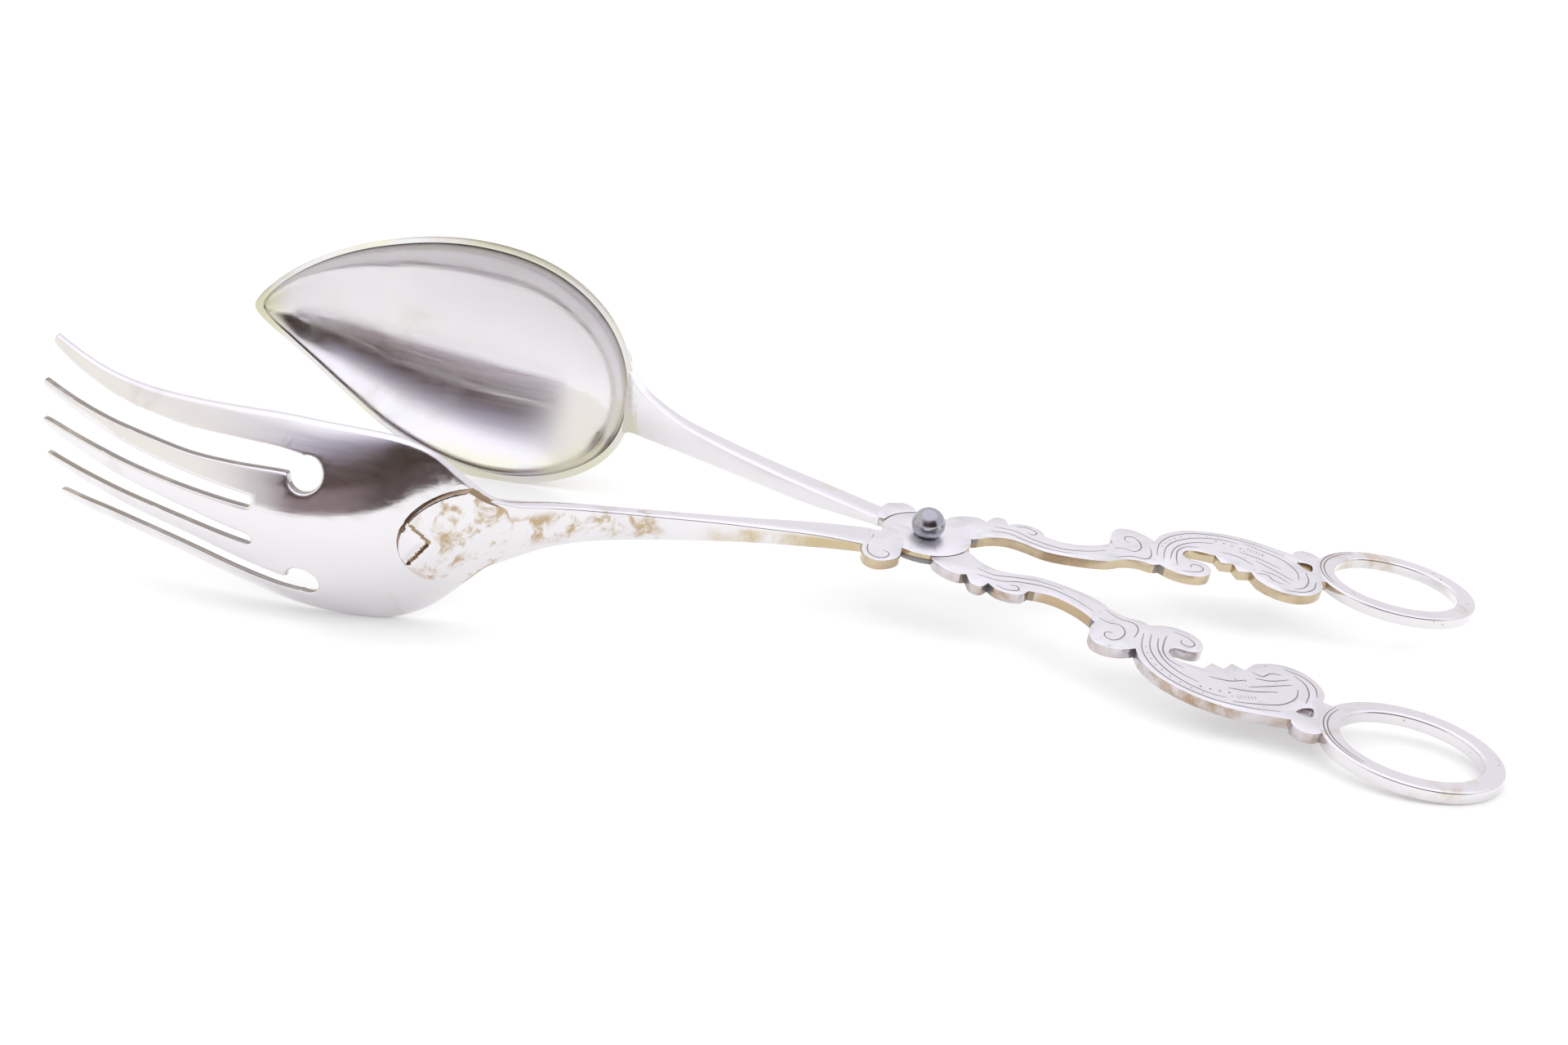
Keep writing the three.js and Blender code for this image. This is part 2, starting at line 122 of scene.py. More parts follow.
BLADE_HEEL = -73
INNER_TINE_TIP = -169
OUTER_TINE_TIP = -167.6
INNER_TIP_LENGTH = 1.3
OUTER_TIP_LENGTH = 1.4
BLADE_GRID = (1.6, 2.2)
BLADE_INSETS = (0.12, 0.2, 0.3)
BLADE_ROUNDING = (0.62, 0.42)  # radius of the rounded edge, and the share of thickness that it keeps
BLADE_EDGE = [
    (-72, 34.6), (-78, 39.6), (-84, 42.8), (-92, 45.6), (-104, 47.7),
    (-116, 47.4), (-130, 46.1), (-145, 43.6), (-158, 39.6), (-170, 34),
]
BLADE_DISH = [
    (-72, 0.2), (-78, 1), (-84, 2.9), (-92, 5.6), (-104, 7.6),
    (-116, 8), (-130, 6.8), (-145, 5.2), (-158, 4), (-170, 3.8),
]
BLADE_HALF_WIDTH = [
    (-72, 5), (-76, 7.4), (-80, 11.4), (-85, 16), (-91, 18.6), (-98, 19.3), (-106, 19.3),
    (-113, 18.9), (-122, 17.8), (-131, 16.7), (-141, 15.8), (-151, 15.7), (-160, 16.5), (-170, 17.6),
]
# Edges of the slots between tines: the inner slot's two sides, then the outer slot's.
SLOT_EDGES = [
    [(-116, 2.8), (-130, 2.1), (-140, 1.8), (-150, 1.6), (-160, 1.2), (-166, 0.9), (-170, 0.5)],
    [(-116, 5), (-130, 4.9), (-140, 5.1), (-150, 5.6), (-160, 6.3), (-166, 6.8), (-170, 7)],
    [(-106, 10.9), (-112, 10.5), (-121, 9.4), (-130, 8.5), (-140, 8.3), (-150, 8.1), (-160, 8.2),
     (-170, 8.6)],
    [(-106, 13.9), (-112, 14.1), (-121, 13.4), (-130, 12.5), (-140, 12.2), (-150, 12.6),
     (-160, 14), (-170, 16)],
]
INNER_SLOT_END = (-116, 3.9, 1.1)
OUTER_SLOT_HOLE = (-105.6, 10.9, 3.1)

DROP_TIP = -88.5
DROP_END = -71.6
DROP_HALF_WIDTH = 9.8
SPOON_DROP_END = -73.3
SPOON_DROP_SHARE = 0.72  # of the bowl's width, the widest that its drop gets
DROP_BLEND = (-79, -71.6)  # where the drop sinks towards the stem
DROP_SUNK = 0.3  # share of its height that the drop keeps at the stem
DROP_ROOT = 0.35  # how deep the drop reaches into the head
DROP_GRID = (0.35, 0.35)
DROP_INSETS = (0.15, 0.2, 0.3)
DROP_ROUNDING = 0.55
DROP_SHADOW_END = -74.5  # the drop's wall carries a painted shadow line from its tip to here
DROP_SHADOW_WIDTH = 0.36
CHEVRON = [(-87, 3.4), (-84.3, 0.1), (-86.9, -3.6)]
CHEVRON_REACH = 0.95  # from the chevron's line to the edge of its cut
CHEVRON_DEPTH = 0.7

STEM_CORNER = 0.22  # a stem's bevels, as a share of the lesser of half its width and half its height

# Stem stations: x, y, width seen from above, half height.
FORK_STEM = [
    (-9.6, -3.6, 7.2, 0.97), (-12, -4.3, 7.2, 1.05), (-20.5, -7.1, 5.4, 1.6), (-35, -13, 3.4, 2.1),
    (-49.5, -19.4, 2.8, 2.7), (-60, -24.6, 2.6, 3.4), (-67, -29.3, 2.7, 4.3),
    (-71.9, -34.1, 2.9, 5.4), (-75, -37.2, 2.2, 6.6), (-79, -41.2, 1, 8),
]
SPOON_STEM = [
    (-9.6, 7.5, 5.2, 0.97), (-12, 8, 5.2, 1.05), (-24.5, 10.9, 5.2, 1.9), (-35, 14.2, 4.8, 2.2),
    (-48, 18.9, 4.2, 2.7), (-58, 22.9, 3.4, 3.4), (-66, 27.3, 2.7, 4.7), (-70, 30.4, 2.4, 5.8),
    (-73, 33.2, 2.2, 7.6),
]

# Handle plate: smooth stretches that meet at corners, from the pivot along the inner side to the
# ring and back along the outer side.
HANDLE_STRETCHES = [
    [(5, 1.2), (9.2, 2.9), (12.5, 5.8), (16, 7.2), (19.6, 6.8), (23.3, 5.8), (27, 6), (32, 7.2),
     (36, 8.8), (39, 11.4), (42, 12.6), (44.6, 12.4), (46.2, 13.3)],
    [(46.2, 13.3), (48.4, 12.1), (51, 11.6), (53.8, 12.2), (55.8, 13.9), (56.5, 16.4), (55.6, 18.6),
     (53.8, 19.3), (52, 19.2), (50.7, 20), (50.5, 21.6), (51.5, 23.1), (53.6, 23.8), (56.9, 24)],
    [(58.3, 21.3)],
    [(60.6, 22.1)],
    [(61.9, 19.4)],
    [(64.4, 20.5)],
    [(65.8, 17.6), (68.2, 15.9), (71.6, 15), (75, 15.9), (77.6, 18.4), (78.8, 21.6), (78.5, 24.6)],
    [(86, 27)],
    [(86, 35)],
    [(78.4, 35.3), (76.8, 36.7), (74.7, 36.8), (73.1, 35.4), (72.8, 33.8)],
    [(72.8, 33.8), (69, 34.6), (65, 35.4), (61, 35.6), (57, 35), (53.5, 33.8), (50, 32),
     (47.5, 29.8), (45.4, 26.8), (44.4, 23.4)],
    [(44.4, 23.4), (42, 25.1), (39.4, 25.8), (36.9, 25.1), (35.7, 22.8), (35.6, 20), (36.2, 17.6)],
    [(36.2, 17.6), (34.5, 15.7), (32, 13.8), (29, 12.4), (26, 11.9), (22.8, 12.4)],
    [(22.8, 12.4), (21.7, 14.5), (19.3, 15.4), (16.9, 15), (15, 13.5)],
    [(15, 13.5), (13.9, 15.6), (11.9, 15.3), (10.5, 12.3)],
    [(10.5, 12.3), (8.8, 13.1), (6.2, 12.4), (3.6, 10.4), (2.6, 7.8)],
]
CORNERS = [
    (9, 2.8), (10.5, 12.3), (15, 13.5), (22.8, 12.4), (36.2, 17.6), (44.4, 23.4), (46.2, 13.3),
]
CORNER_SHADE = 1.2  # how far old tarnish and painted shade reach from a corner
LAP_SHADOW = 0.3  # and how far the painted shadow between the plates reaches from the recess of the lap joint
PIERCED_HOLE = [(73.6, 30.6), (74.8, 28.9), (76.6, 28), (76.7, 30.6), (75.4, 31.2)]
FORK_FRONT = [
    [(-4, 1)],
    [(-10.6, -0.8)],
    [(-10.6, -8.2), (-10.1, -10.6), (-8.9, -12.4), (-6.9, -13.1), (-5, -12.2), (-3.5, -10.5),
     (-2.9, -8.6), (-3.2, -5)],
]
SPOON_FRONT = [
    [(-4, 5)],
    [(-10.6, 5.2)],
    [(-10.6, 10.5), (-9.8, 12.4), (-8.4, 13.5), (-6.4, 14.2), (-4.7, 13.4), (-3.5, 11.8),
     (-2.6, 9.5)],
]

# Strokes of the graver on a handle's top.
STROKES = [
    [(36.8, 15.4), (38.6, 16.4), (40.8, 16.2), (42, 18.3), (41.5, 21), (40, 22.6), (38.5, 21.8),
     (38.6, 20.2), (39.8, 19.8)],
    [(45.4, 17), (45.4, 22), (46.6, 26), (49, 29.4), (52.5, 32), (57, 33.6), (61, 34.1),
     (66, 33.5), (71, 32)],
    [(46.8, 16.4), (46.9, 21.4), (48.3, 25.3), (51, 28.6), (54.6, 31), (58.5, 32.2), (61.5, 32.2)],
    [(48.2, 17.2), (48.4, 21.2), (49.8, 24.8), (52.8, 27.8), (56.4, 29.4)],
    [(49.7, 15.4), (49.3, 18.4), (49.4, 21.8), (50.8, 24.4), (53.4, 25.8)],
    [(50.8, 13.2), (53.6, 14.2), (54.9, 16), (54, 17.4), (52.5, 16.9), (52.4, 15.6)],
    [(62.5, 33), (66.3, 31.8), (71, 29.6), (73.6, 26), (74, 22.6)],
    [(73.2, 17.8), (75.2, 19.8), (76, 23.2), (75.4, 26.8)],
    [(71.4, 16.4), (74.9, 17.5), (77, 20), (77.5, 23.6)],
    [(65.6, 20.6), (67.6, 21.2), (69, 19.4), (71, 18.8)],
    [(66.4, 22.6), (69.2, 22), (72.4, 19.8)],
    [(65.2, 26.4), (69.4, 23.8), (73, 21.4)],
    [(61.6, 28.6), (66, 27.6), (70.4, 25.4)],
    [(58, 26.4), (61.8, 26), (64.8, 24)],
    [(12.4, 11), (16.8, 11.4), (20.6, 9.8), (26, 9), (31, 10.5), (35.4, 13.4)],
    [(16.6, 13.4), (18.8, 14.2), (20.9, 13.2), (20.4, 11.8), (19, 12)],
    [(12, 8.6), (15.6, 9.6), (19.4, 8.4), (24, 7.4), (29, 8)],
    [(37.6, 11.6), (40.4, 13.7), (43.4, 14.2), (44.3, 16.4), (43.8, 19.6)],
]
LOBE_STROKE = [
    (-9.4, -2.5), (-9.6, -7), (-9, -10.2), (-7.2, -11.8), (-5.3, -10.9), (-5, -9), (-6.4, -8.2),
]
DOTS = [(56.8, 30.7), (58.5, 30.7), (60.2, 30.5), (61.9, 30.2)]
HATCHING = [(63.2 + 0.6 * i, 30.2 - 0.25 * i) for i in range(6)]
HATCH_LENGTH = 1.3
BORDER_TICKS = range(9)  # small cuts between the scroll's two outer lines
CUT_LIFT = 0.03  # height of every cut's centre line above the surface
CUT_END = 0.45  # a cut's radius at its ends, as a share of the widest
CUT_SWELL = 0.6  # less for a cut that swells sooner from its ends

RING_OVERLAP = 0.5  # how far a handle reaches into its ring
RING_SQUARENESS = 0.3  # 1 for a round section, less for a squarer one
RING_LINES = (0.8, 1.5)  # engraved lines on a ring, measured inwards from its outer edge
RING_LINE_ENDS = (125, 212)  # degrees

FLOOR_FRONT = 135  # the floor ends this far in front of the part's origin, so the silver sees the room
AIM = (27.31, -4.35)  # from the middle of the camera's view to the tongs' origin, right and up

# ---- Colours and light -------------------------------------------------------------------------

# What each finish is made of. A colour is the name of one in TongsFinish or its own values.
FINISHES = {
    "polished_bowl": dict(
        stain=(0.69, 0.67, 0.63), stained=(0.54, 0.2), scale=30, relief=0.02,
        tints=[
            ("cream", [((-80, 42, 0), (-80, 37, 0))], None),
            ((0.66, 0.64, 0.48), [((-158, 40, 0), (-165, 38, 0))], None),
        ],
    ),
    "polished_fork": dict(stain=(0.7, 0.66, 0.67), stained=(0.52, 0.2), scale=40, relief=0.03),
    "stained_heel": dict(
        stain="rust", stained=(0.49, 0.16), scale=230, fades=[((-88, -45, 0), (-83, -45, 0))]
    ),
    "fork_stem_finish": dict(
        stain="rust", stained=(0.46, 0.16), scale=230,
        fades=[
            ((-44, -17, 0), (-52, -20, 0)),
            ((-60, -25, 4), (-60, -25, 2)),
            ((-60, -25, -4), (-60, -25, -1)),
        ],
        tints=[
            ("golden", [((-43, -16, 0), (-37, -14, 0)), ((-30, -11, 1.5), (-30, -11, 0.5))],
             (0.4, -0.9, 0)),
        ],
    ),
    "spoon_stem_finish": dict(stain=(0.72, 0.7, 0.6), stained=(0.56, 0.12), scale=60),
    "engraved_plate": dict(
        stain=(0.68, 0.68, 0.67), stained=(0.5, 0.2), scale=160, roughness=(0.34, 0.44),
        relief=0.05, pits=(700, 0.2),
    ),
    # painted reflection: near_wall and far_wall give the plates' side walls the warm golden-brown that
    # they reflect; the far walls yellow-gold with brown blotches, the near walls grey with brown
    # blotches and reddish-brown patches
    "near_wall": dict(
        colour=(0.66, 0.62, 0.65), stain="brown", stained=(0.43, 0.2), scale=70,
        roughness=(0.16, 0.3),
        tints=[("rust", [((21, -12, 0), (26, -12, 0)), ((39, -16, 0), (35, -15, 0))], None)],
    ),
    "far_wall": dict(
        colour="tarnish", stain="brown", stained=(0.42, 0.3), scale=60, roughness=(0.16, 0.3)
    ),
    # painted shadow and shade: dark brown for the shadow line round the heel drop's tip and the shaded
    # flank of its chevron cut
    "drop_edge": dict(colour="brown", stain=(0.3, 0.22, 0.15), stained=(0.4, 0.2), scale=120),
    # painted shade: dark brown-grey on the slot walls that face up, for the shade along one side of
    # each slot
    "slot_wall": dict(
        colour=(0.3, 0.27, 0.24), stain=(0.5, 0.46, 0.42), stained=(0.5, 0.2), scale=60
    ),
    # oxide left dark in the engraved lines; the same dark brown on plate walls by the lap and the
    # corners is painted shadow and shade
    "graver_cut": dict(
        colour="brown", stain="oxide", stained=(0.3, 0.2), scale=200, roughness=(0.35, 0.5)
    ),
    "ring_band": dict(stain=(0.62, 0.53, 0.42), stained=(0.56, 0.14), scale=60, pits=(420, 0.16)),
    "dark_ball": dict(
        colour=(0.4, 0.4, 0.44), stain=(0.3, 0.28, 0.32), stained=(0.6, 0.2), scale=120, relief=0.01
    ),
}
CLOUD = dict(Scale=14, Threshold=0.4, Softness=0.3)  # broad clouds over every finish
CLOUD_SHADE = 0.93
TINT_CLOUD = dict(Scale=50, Threshold=0.34, Softness=0.22)  # gives each tint its ragged edge
TINT_FACING = dict(From=0.4, To=0.8)  # how squarely a tinted surface looks the tint's way
HAIRLINES = dict(Scale=900, Stretch=0.03)
PIT_COLOUR = (0.3, 0.27, 0.26)
LINE_ROUGHNESS = 0.08  # how much the polishing lines add to the roughness
RELIEF_HEIGHT = 0.0004  # metres

WHITE = (1, 1, 1)
WALLS = (0.9, 0.88, 0.92)
LEFT_WALL = (1, 0.98, 0.9)
CEILING = (1.2, 1.2, 1.32)
ROOM_HEIGHTS = (  # the dim room's colours from its floor upwards
    (0.0, (0.26, 0.2, 0.21)),
    (0.12, (0.09, 0.06, 0.05)),
    (0.3, (0.13, 0.1, 0.1)),
    (0.45, (0.3, 0.27, 0.32)),
    (0.6, (0.6, 0.58, 0.68)),
)
ROOM_RIGHT = (0.05, 0.035, 0.025)
# Soft lights: name, place in metres, watts and colour.
SOFTBOXES = (
    ("left_light", (-0.9, -0.3, 0.9), 1.6, (0.95, 0.95, 1)),
    ("right_light", (0.9, -0.2, 0.9), 1.6, (1, 0.98, 0.94)),
)
SOFTBOX_SIDES = (0.9, 0.45)
LIT_PLACE = (0, 0, 0.02)

# ---- Curves ------------------------------------------------------------------------------------


def spline(knots, steps):
    """Points on a smooth curve through the knots, with steps points to each span."""
    knots = np.array(knots, float)
    ended = np.vstack([knots[:1], knots, knots[-1:]])
    t = np.linspace(0, 1, steps, endpoint=False)[:, None]
    spans = []
    for before, start, end, after in zip(ended, ended[1:], ended[2:], ended[3:]):
        leave, arrive = (end - before) / 2, (after - start) / 2
        cubic = 2 * start - 2 * end + leave + arrive
        square = 3 * end - 3 * start - 2 * leave - arrive
        spans.append(((cubic * t + square) * t + leave) * t + start)
    return np.vstack([*spans, knots[-1:]])


def line(points):
    """Smooth line through (x, value) points, read as value(x)."""
    curve = spline(points, 24)
    curve = curve[np.argsort(curve[:, 0])]
    return lambda x: np.interp(x, curve[:, 0], curve[:, 1])


def smoothed(stretches, steps=7):
    """Closed outline made of smooth stretches that meet at corners."""
    points = np.vstack([spline(s, steps) if len(s) > 2 else np.array(s, float) for s in stretches])
    gaps = np.linalg.norm(points - np.roll(points, 1, axis=0), axis=1)
    return points[gaps > 0.02]


def arc(centre, radii, first, last, steps):
    """Points on an ellipse from the first angle to the last, in degrees."""
    angles = np.radians(np.linspace(first, last, steps))
    return np.array(centre) + np.stack([radii[0] * np.cos(angles), radii[1] * np.sin(angles)], 1)


rim_line = line(RIM_LINE)
blade_edge = line(BLADE_EDGE)
blade_dish = line(BLADE_DISH)
blade_half_width = line(BLADE_HALF_WIDTH)


# ---- Modelling steps ---------------------------------------------------------------------------


def deselect():
    """Leaves edit mode and selects nothing."""
    if bpy.context.mode != "OBJECT":
        bpy.ops.object.mode_set(mode="OBJECT")
    bpy.ops.object.select_all(action="DESELECT")


def only(obj):
    """Leaves edit mode and makes obj the one selected object."""
    deselect()
    obj.select_set(True)
    bpy.context.view_layer.objects.active = obj
    return obj


def named(name):
    """The object that was just added, under its name."""
    obj = only(bpy.context.object)
    obj.name = name
    obj.data.name = name
    return obj


def placed(name):
    """The object that was just added, under its name, with its place and scale in its mesh."""
    obj = named(name)
    bpy.ops.object.transform_apply(location=True, rotation=False, scale=True)
    return obj


def edit_all(obj):
    only(obj)
    bpy.ops.object.mode_set(mode="EDIT")
    bpy.ops.mesh.select_all(action="SELECT")


def set_points(obj, points):
    obj.data.vertices.foreach_set("co", np.asarray(points, np.float32).ravel())
    obj.data.update()


def points_of(obj):
    points = np.zeros(len(obj.data.vertices) * 3, np.float32)
    obj.data.vertices.foreach_get("co", points)
    return points.reshape(-1, 3).astype(float)


def face_out(obj):
    """Turns every face of a closed mesh outwards."""
    edit_all(obj)
    bpy.ops.mesh.normals_make_consistent(inside=False)
    return only(obj)


def grid_of(name, rows):
    """A grid whose vertices lie at rows of points."""
    deselect()
    rows = np.asarray(rows, float)
    bpy.ops.mesh.primitive_grid_add(
        x_subdivisions=rows.shape[1] - 1, y_subdivisions=rows.shape[0] - 1, size=2
    )
    obj = named(name)
    set_points(obj, rows.reshape(-1, 3))
    return obj


def lofted(name, sections, ring=False):
    """A closed skin through sections, each a loop of points. A ring's last one meets its first."""
    sections = np.asarray(sections, float)
    sections = np.concatenate([sections, sections[:, :1]], axis=1)
    if ring:
        sections = np.concatenate([sections, sections[:1]], axis=0)
    obj = grid_of(name, sections)
    edit_all(obj)
    bpy.ops.mesh.remove_doubles(threshold=0.0005)
    if not ring:
        bpy.ops.mesh.select_all(action="DESELECT")
        bpy.ops.mesh.select_non_manifold(
            extend=False, use_wire=False, use_multi_face=False, use_non_contiguous=False,
            use_verts=False,
        )
        bpy.ops.mesh.fill_holes(sides=0)
    return face_out(obj)


def flat_face(name, outline):
    """One flat face with the outline."""
    deselect()
    bpy.ops.mesh.primitive_circle_add(vertices=len(outline), fill_type="NGON")
    obj = named(name)
    set_points(obj, np.column_stack([outline, np.zeros(len(outline))]))
    return obj


def slab(name, outline, bottom, top):
    """A plate with the outline, from height bottom to top."""
    obj = flat_face(name, outline)
    edit_all(obj)
    bpy.ops.transform.translate(value=(0, 0, bottom))
    bpy.ops.mesh.extrude_region_move(TRANSFORM_OT_translate={"value": (0, 0, top - bottom)})
    return face_out(obj)


def cut_sheet(name, outline, insets, step_x, step_y):
    """A sheet one unit thick: rings of faces follow its outline, a grid of cuts lets it bend."""
    obj = flat_face(name, outline)
    edit_all(obj)
    for width in insets:
        bpy.ops.mesh.inset(thickness=width, use_even_offset=True, use_boundary=True)
    low, high = outline.min(axis=0), outline.max(axis=0)
    for normal, axis, step in (((1, 0, 0), 0, step_x), ((0, 1, 0), 1, step_y)):
        for place in np.arange(low[axis] + step / 2, high[axis], step):
            bpy.ops.mesh.select_all(action="SELECT")
            bpy.ops.mesh.bisect(plane_co=[place * part for part in normal], plane_no=normal)
    bpy.ops.mesh.select_all(action="SELECT")
    bpy.ops.mesh.extrude_region_move(TRANSFORM_OT_translate={"value": (0, 0, 1)})
    return face_out(obj)


def distance_to(starts, ends, points):
    """Distance from each point to the nearest of the lines from starts to ends."""
    nearest = np.full(len(points), np.inf)
    for start, end in zip(starts, ends):
        way = end - start
        share = np.clip((points - start) @ way / (way @ way), 0, 1)
        nearest = np.minimum(nearest, np.linalg.norm(points - start - share[:, None] * way, axis=1))
    return nearest


def edge_distance(points, outline):
    """Distance from each point to a closed outline."""
    return distance_to(outline, np.roll(outline, -1, axis=0), points)


def rounding(distance, radius, least=0.0):
    """Share of the full height at a distance from a rounded edge."""
    inside = 1 - np.clip(distance / radius, 0, 1)
    return least + (1 - least) * np.sqrt(1 - inside**2)


def apply_modifier(obj, kind, **settings):
    only(obj)
    bpy.ops.object.modifier_add(type=kind)
    modifier = obj.modifiers[-1]
    for setting, value in settings.items():
        setattr(modifier, setting, value)
    bpy.ops.object.modifier_apply(modifier=modifier.name)
    return obj


def combine(obj, tool, operation="DIFFERENCE"):
    """Cuts tool away from obj, or joins it, and removes tool."""
    apply_modifier(
        obj, "BOOLEAN", object=tool, operation=operation, solver="MANIFOLD",
        material_mode="TRANSFER",
    )
    bpy.data.objects.remove(tool)
    if not obj.data.polygons:
        raise RuntimeError(f"{obj.name} was lost in a {operation}")
    return obj


def soften(obj, width, segments, angle=40):
    """Bevels the edges that turn by more than angle."""
    return apply_modifier(
        obj, "BEVEL", width=width, segments=segments, limit_method="ANGLE",
        angle_limit=math.radians(angle), harden_normals=False,
    )


def cylinder(name, radius, bottom, top, sides=96):
    """A cylinder on the pivot's axis, from height bottom to top."""
    deselect()
    middle = (PIVOT.x, PIVOT.y, (top + bottom) / 2)
    bpy.ops.mesh.primitive_cylinder_add(
        vertices=sides, radius=radius, depth=top - bottom, location=middle
    )
    return placed(name)


def give_finishes(obj, names, of_faces=None):
    """Gives obj its finishes and, where of_faces has a number for each face, each face its own."""
    obj.data.materials.clear()
    for name in names:
        obj.data.materials.append(finish_named(name))
    if of_faces is not None:
        obj.data.polygons.foreach_set("material_index", np.asarray(of_faces, np.int32))


def finish_piece(obj, body, slot, node, *finishes, angle=30):
    """Shades obj, gives it its finishes, and puts it in the part's frame on its body."""
    only(obj)
    bpy.ops.object.shade_smooth_by_angle(angle=math.radians(angle))
    if finishes:
        give_finishes(obj, finishes)
    obj.matrix_world = TONGS
    bpy.ops.object.transform_apply(location=True, rotation=True, scale=True)
    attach(obj, body)
    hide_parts(node)
    return obj


# ---- Finishes ----------------------------------------------------------------------------------


def feed(tree, node, values):
    """Links or sets a node's inputs, each found by its label or its number."""
    for key, value in values.items():
        if isinstance(value, bpy.types.NodeSocket):
            tree.links.new(value, node.inputs[key])
        else:
            node.inputs[key].default_value = value
    return node


def add_node(tree, kind, values=None, **settings):
    """A new node with its settings, and its inputs linked or set."""
    node = tree.nodes.new(kind)
    for setting, value in settings.items():
        setattr(node, setting, value)
    return feed(tree, node, values or {})


def calculated(tree, operation, first, second):
    """The sum, difference or product of two values."""
    return add_node(tree, "ShaderNodeMath", {0: first, 1: second}, operation=operation).outputs[0]


def shaped(tree, value, low, high, to_low=0.0, to_high=1.0):
    """A value eased from one range to another."""
    ranges = {"Value": value, "From Min": low, "From Max": high, "To Min": to_low, "To Max": to_high}
    return add_node(tree, "ShaderNodeMapRange", ranges, interpolation_type="SMOOTHSTEP").outputs[0]


def mixed(tree, mask, first, second):
    """Colour first where the mask is 0 and second where it is 1."""
    values = {"Factor": mask}
    for place, tone in ((6, first), (7, second)):
        values[place] = tone if isinstance(tone, bpy.types.NodeSocket) else (*tone, 1)
    return add_node(tree, "ShaderNodeMix", values, data_type="RGBA").outputs[2]


def blotch_mask(tree, given):
    """Cloudy tarnish: a mask of soft patches with ragged edges."""
    cloud = add_node(tree, "ShaderNodeTexNoise", {
        "Vector": given["Vector"], "Scale": given["Scale"], "Detail": 6.0, "Roughness": 0.62,
        "Distortion": 0.4,
    })
    high = calculated(tree, "ADD", given["Threshold"], given["Softness"])
    return shaped(tree, cloud.outputs[0], given["Threshold"], high)


def hairline_height(tree, given):
    """Fine polishing lines that run along the piece."""
    stretch = add_node(tree, "ShaderNodeCombineXYZ", {"X": given["Stretch"], "Y": 1.0, "Z": 1.0})
    factors = {0: given["Vector"], 1: stretch.outputs[0]}
    scaled = add_node(tree, "ShaderNodeVectorMath", factors, operation="MULTIPLY")
    values = {"Vector": scaled.outputs[0], "Scale": given["Scale"], "Detail": 3.0}
    return add_node(tree, "ShaderNodeTexNoise", values).outputs[0]


def pit_mask(tree, given):
    """Scattered small pits, 1 inside a pit."""
    place = {"Vector": given["Vector"]}
    cells = add_node(tree, "ShaderNodeTexVoronoi", {**place, "Scale": given["Scale"]})
    thin = add_node(tree, "ShaderNodeTexNoise", {**place, "Scale": 70.0})
    mask = shaped(tree, cells.outputs["Distance"], given["Size"], 0.02)
    return calculated(tree, "MULTIPLY", mask, shaped(tree, thin.outputs[0], 0.52, 0.6))


def along_mask(tree, given):
    """How far a vector reaches along an axis: 0 before From, 1 after To."""
    factors = {0: given["Vector"], 1: given["Axis"]}
    reach = add_node(tree, "ShaderNodeVectorMath", factors, operation="DOT_PRODUCT")
    return shaped(tree, reach.outputs["Value"], given["From"], given["To"])


# Effects that finishes share: what makes each one, and its inputs besides the vector.
EFFECTS = {
    "blotches": (blotch_mask, ("Scale", "Threshold", "Softness")),
    "hairlines": (hairline_height, ("Scale", "Stretch")),
    "pits": (pit_mask, ("Scale", "Size")),
    "along": (along_mask, ("Axis", "From", "To")),
}


def new_group(name):
    """The node group of an effect, with one float output."""
    maker, labels = EFFECTS[name]
    group = bpy.data.node_groups.new(name, "ShaderNodeTree")
    for label in ("Vector", *labels):
        kind = "NodeSocketVector" if label in ("Vector", "Axis") else "NodeSocketFloat"
        group.interface.new_socket(label, in_out="INPUT", socket_type=kind)
    group.interface.new_socket("Value", in_out="OUTPUT", socket_type="NodeSocketFloat")
    given = group.nodes.new("NodeGroupInput").outputs
    made = group.nodes.new("NodeGroupOutput")
    group.links.new(maker(group, given), made.inputs["Value"])
    return group


def effect(tree, name, vector, **values):
    """Puts a shared effect into a tree and gives its output."""
    group = bpy.data.node_groups.get(name) or new_group(name)
    values = {"Vector": vector, **values}
    return add_node(tree, "ShaderNodeGroup", values, node_tree=group).outputs[0]


def faded(tree, mask, place, fades):
    """A mask that eases in between two points, in the tongs' millimetres, for each of the fades."""
    for start, end in fades:
        start, end = TONGS @ Vector(start), TONGS @ Vector(end)
        way = (end - start).normalized()
        fade = effect(tree, "along", place, Axis=way, From=way.dot(start), To=way.dot(end))
        mask = calculated(tree, "MULTIPLY", mask, fade)
    return mask


def toned(tone):
    """A colour from its name in the finish properties, or from its own values."""
    return tuple(getattr(bpy.context.scene.tongs_finish, tone)) if isinstance(tone, str) else tone


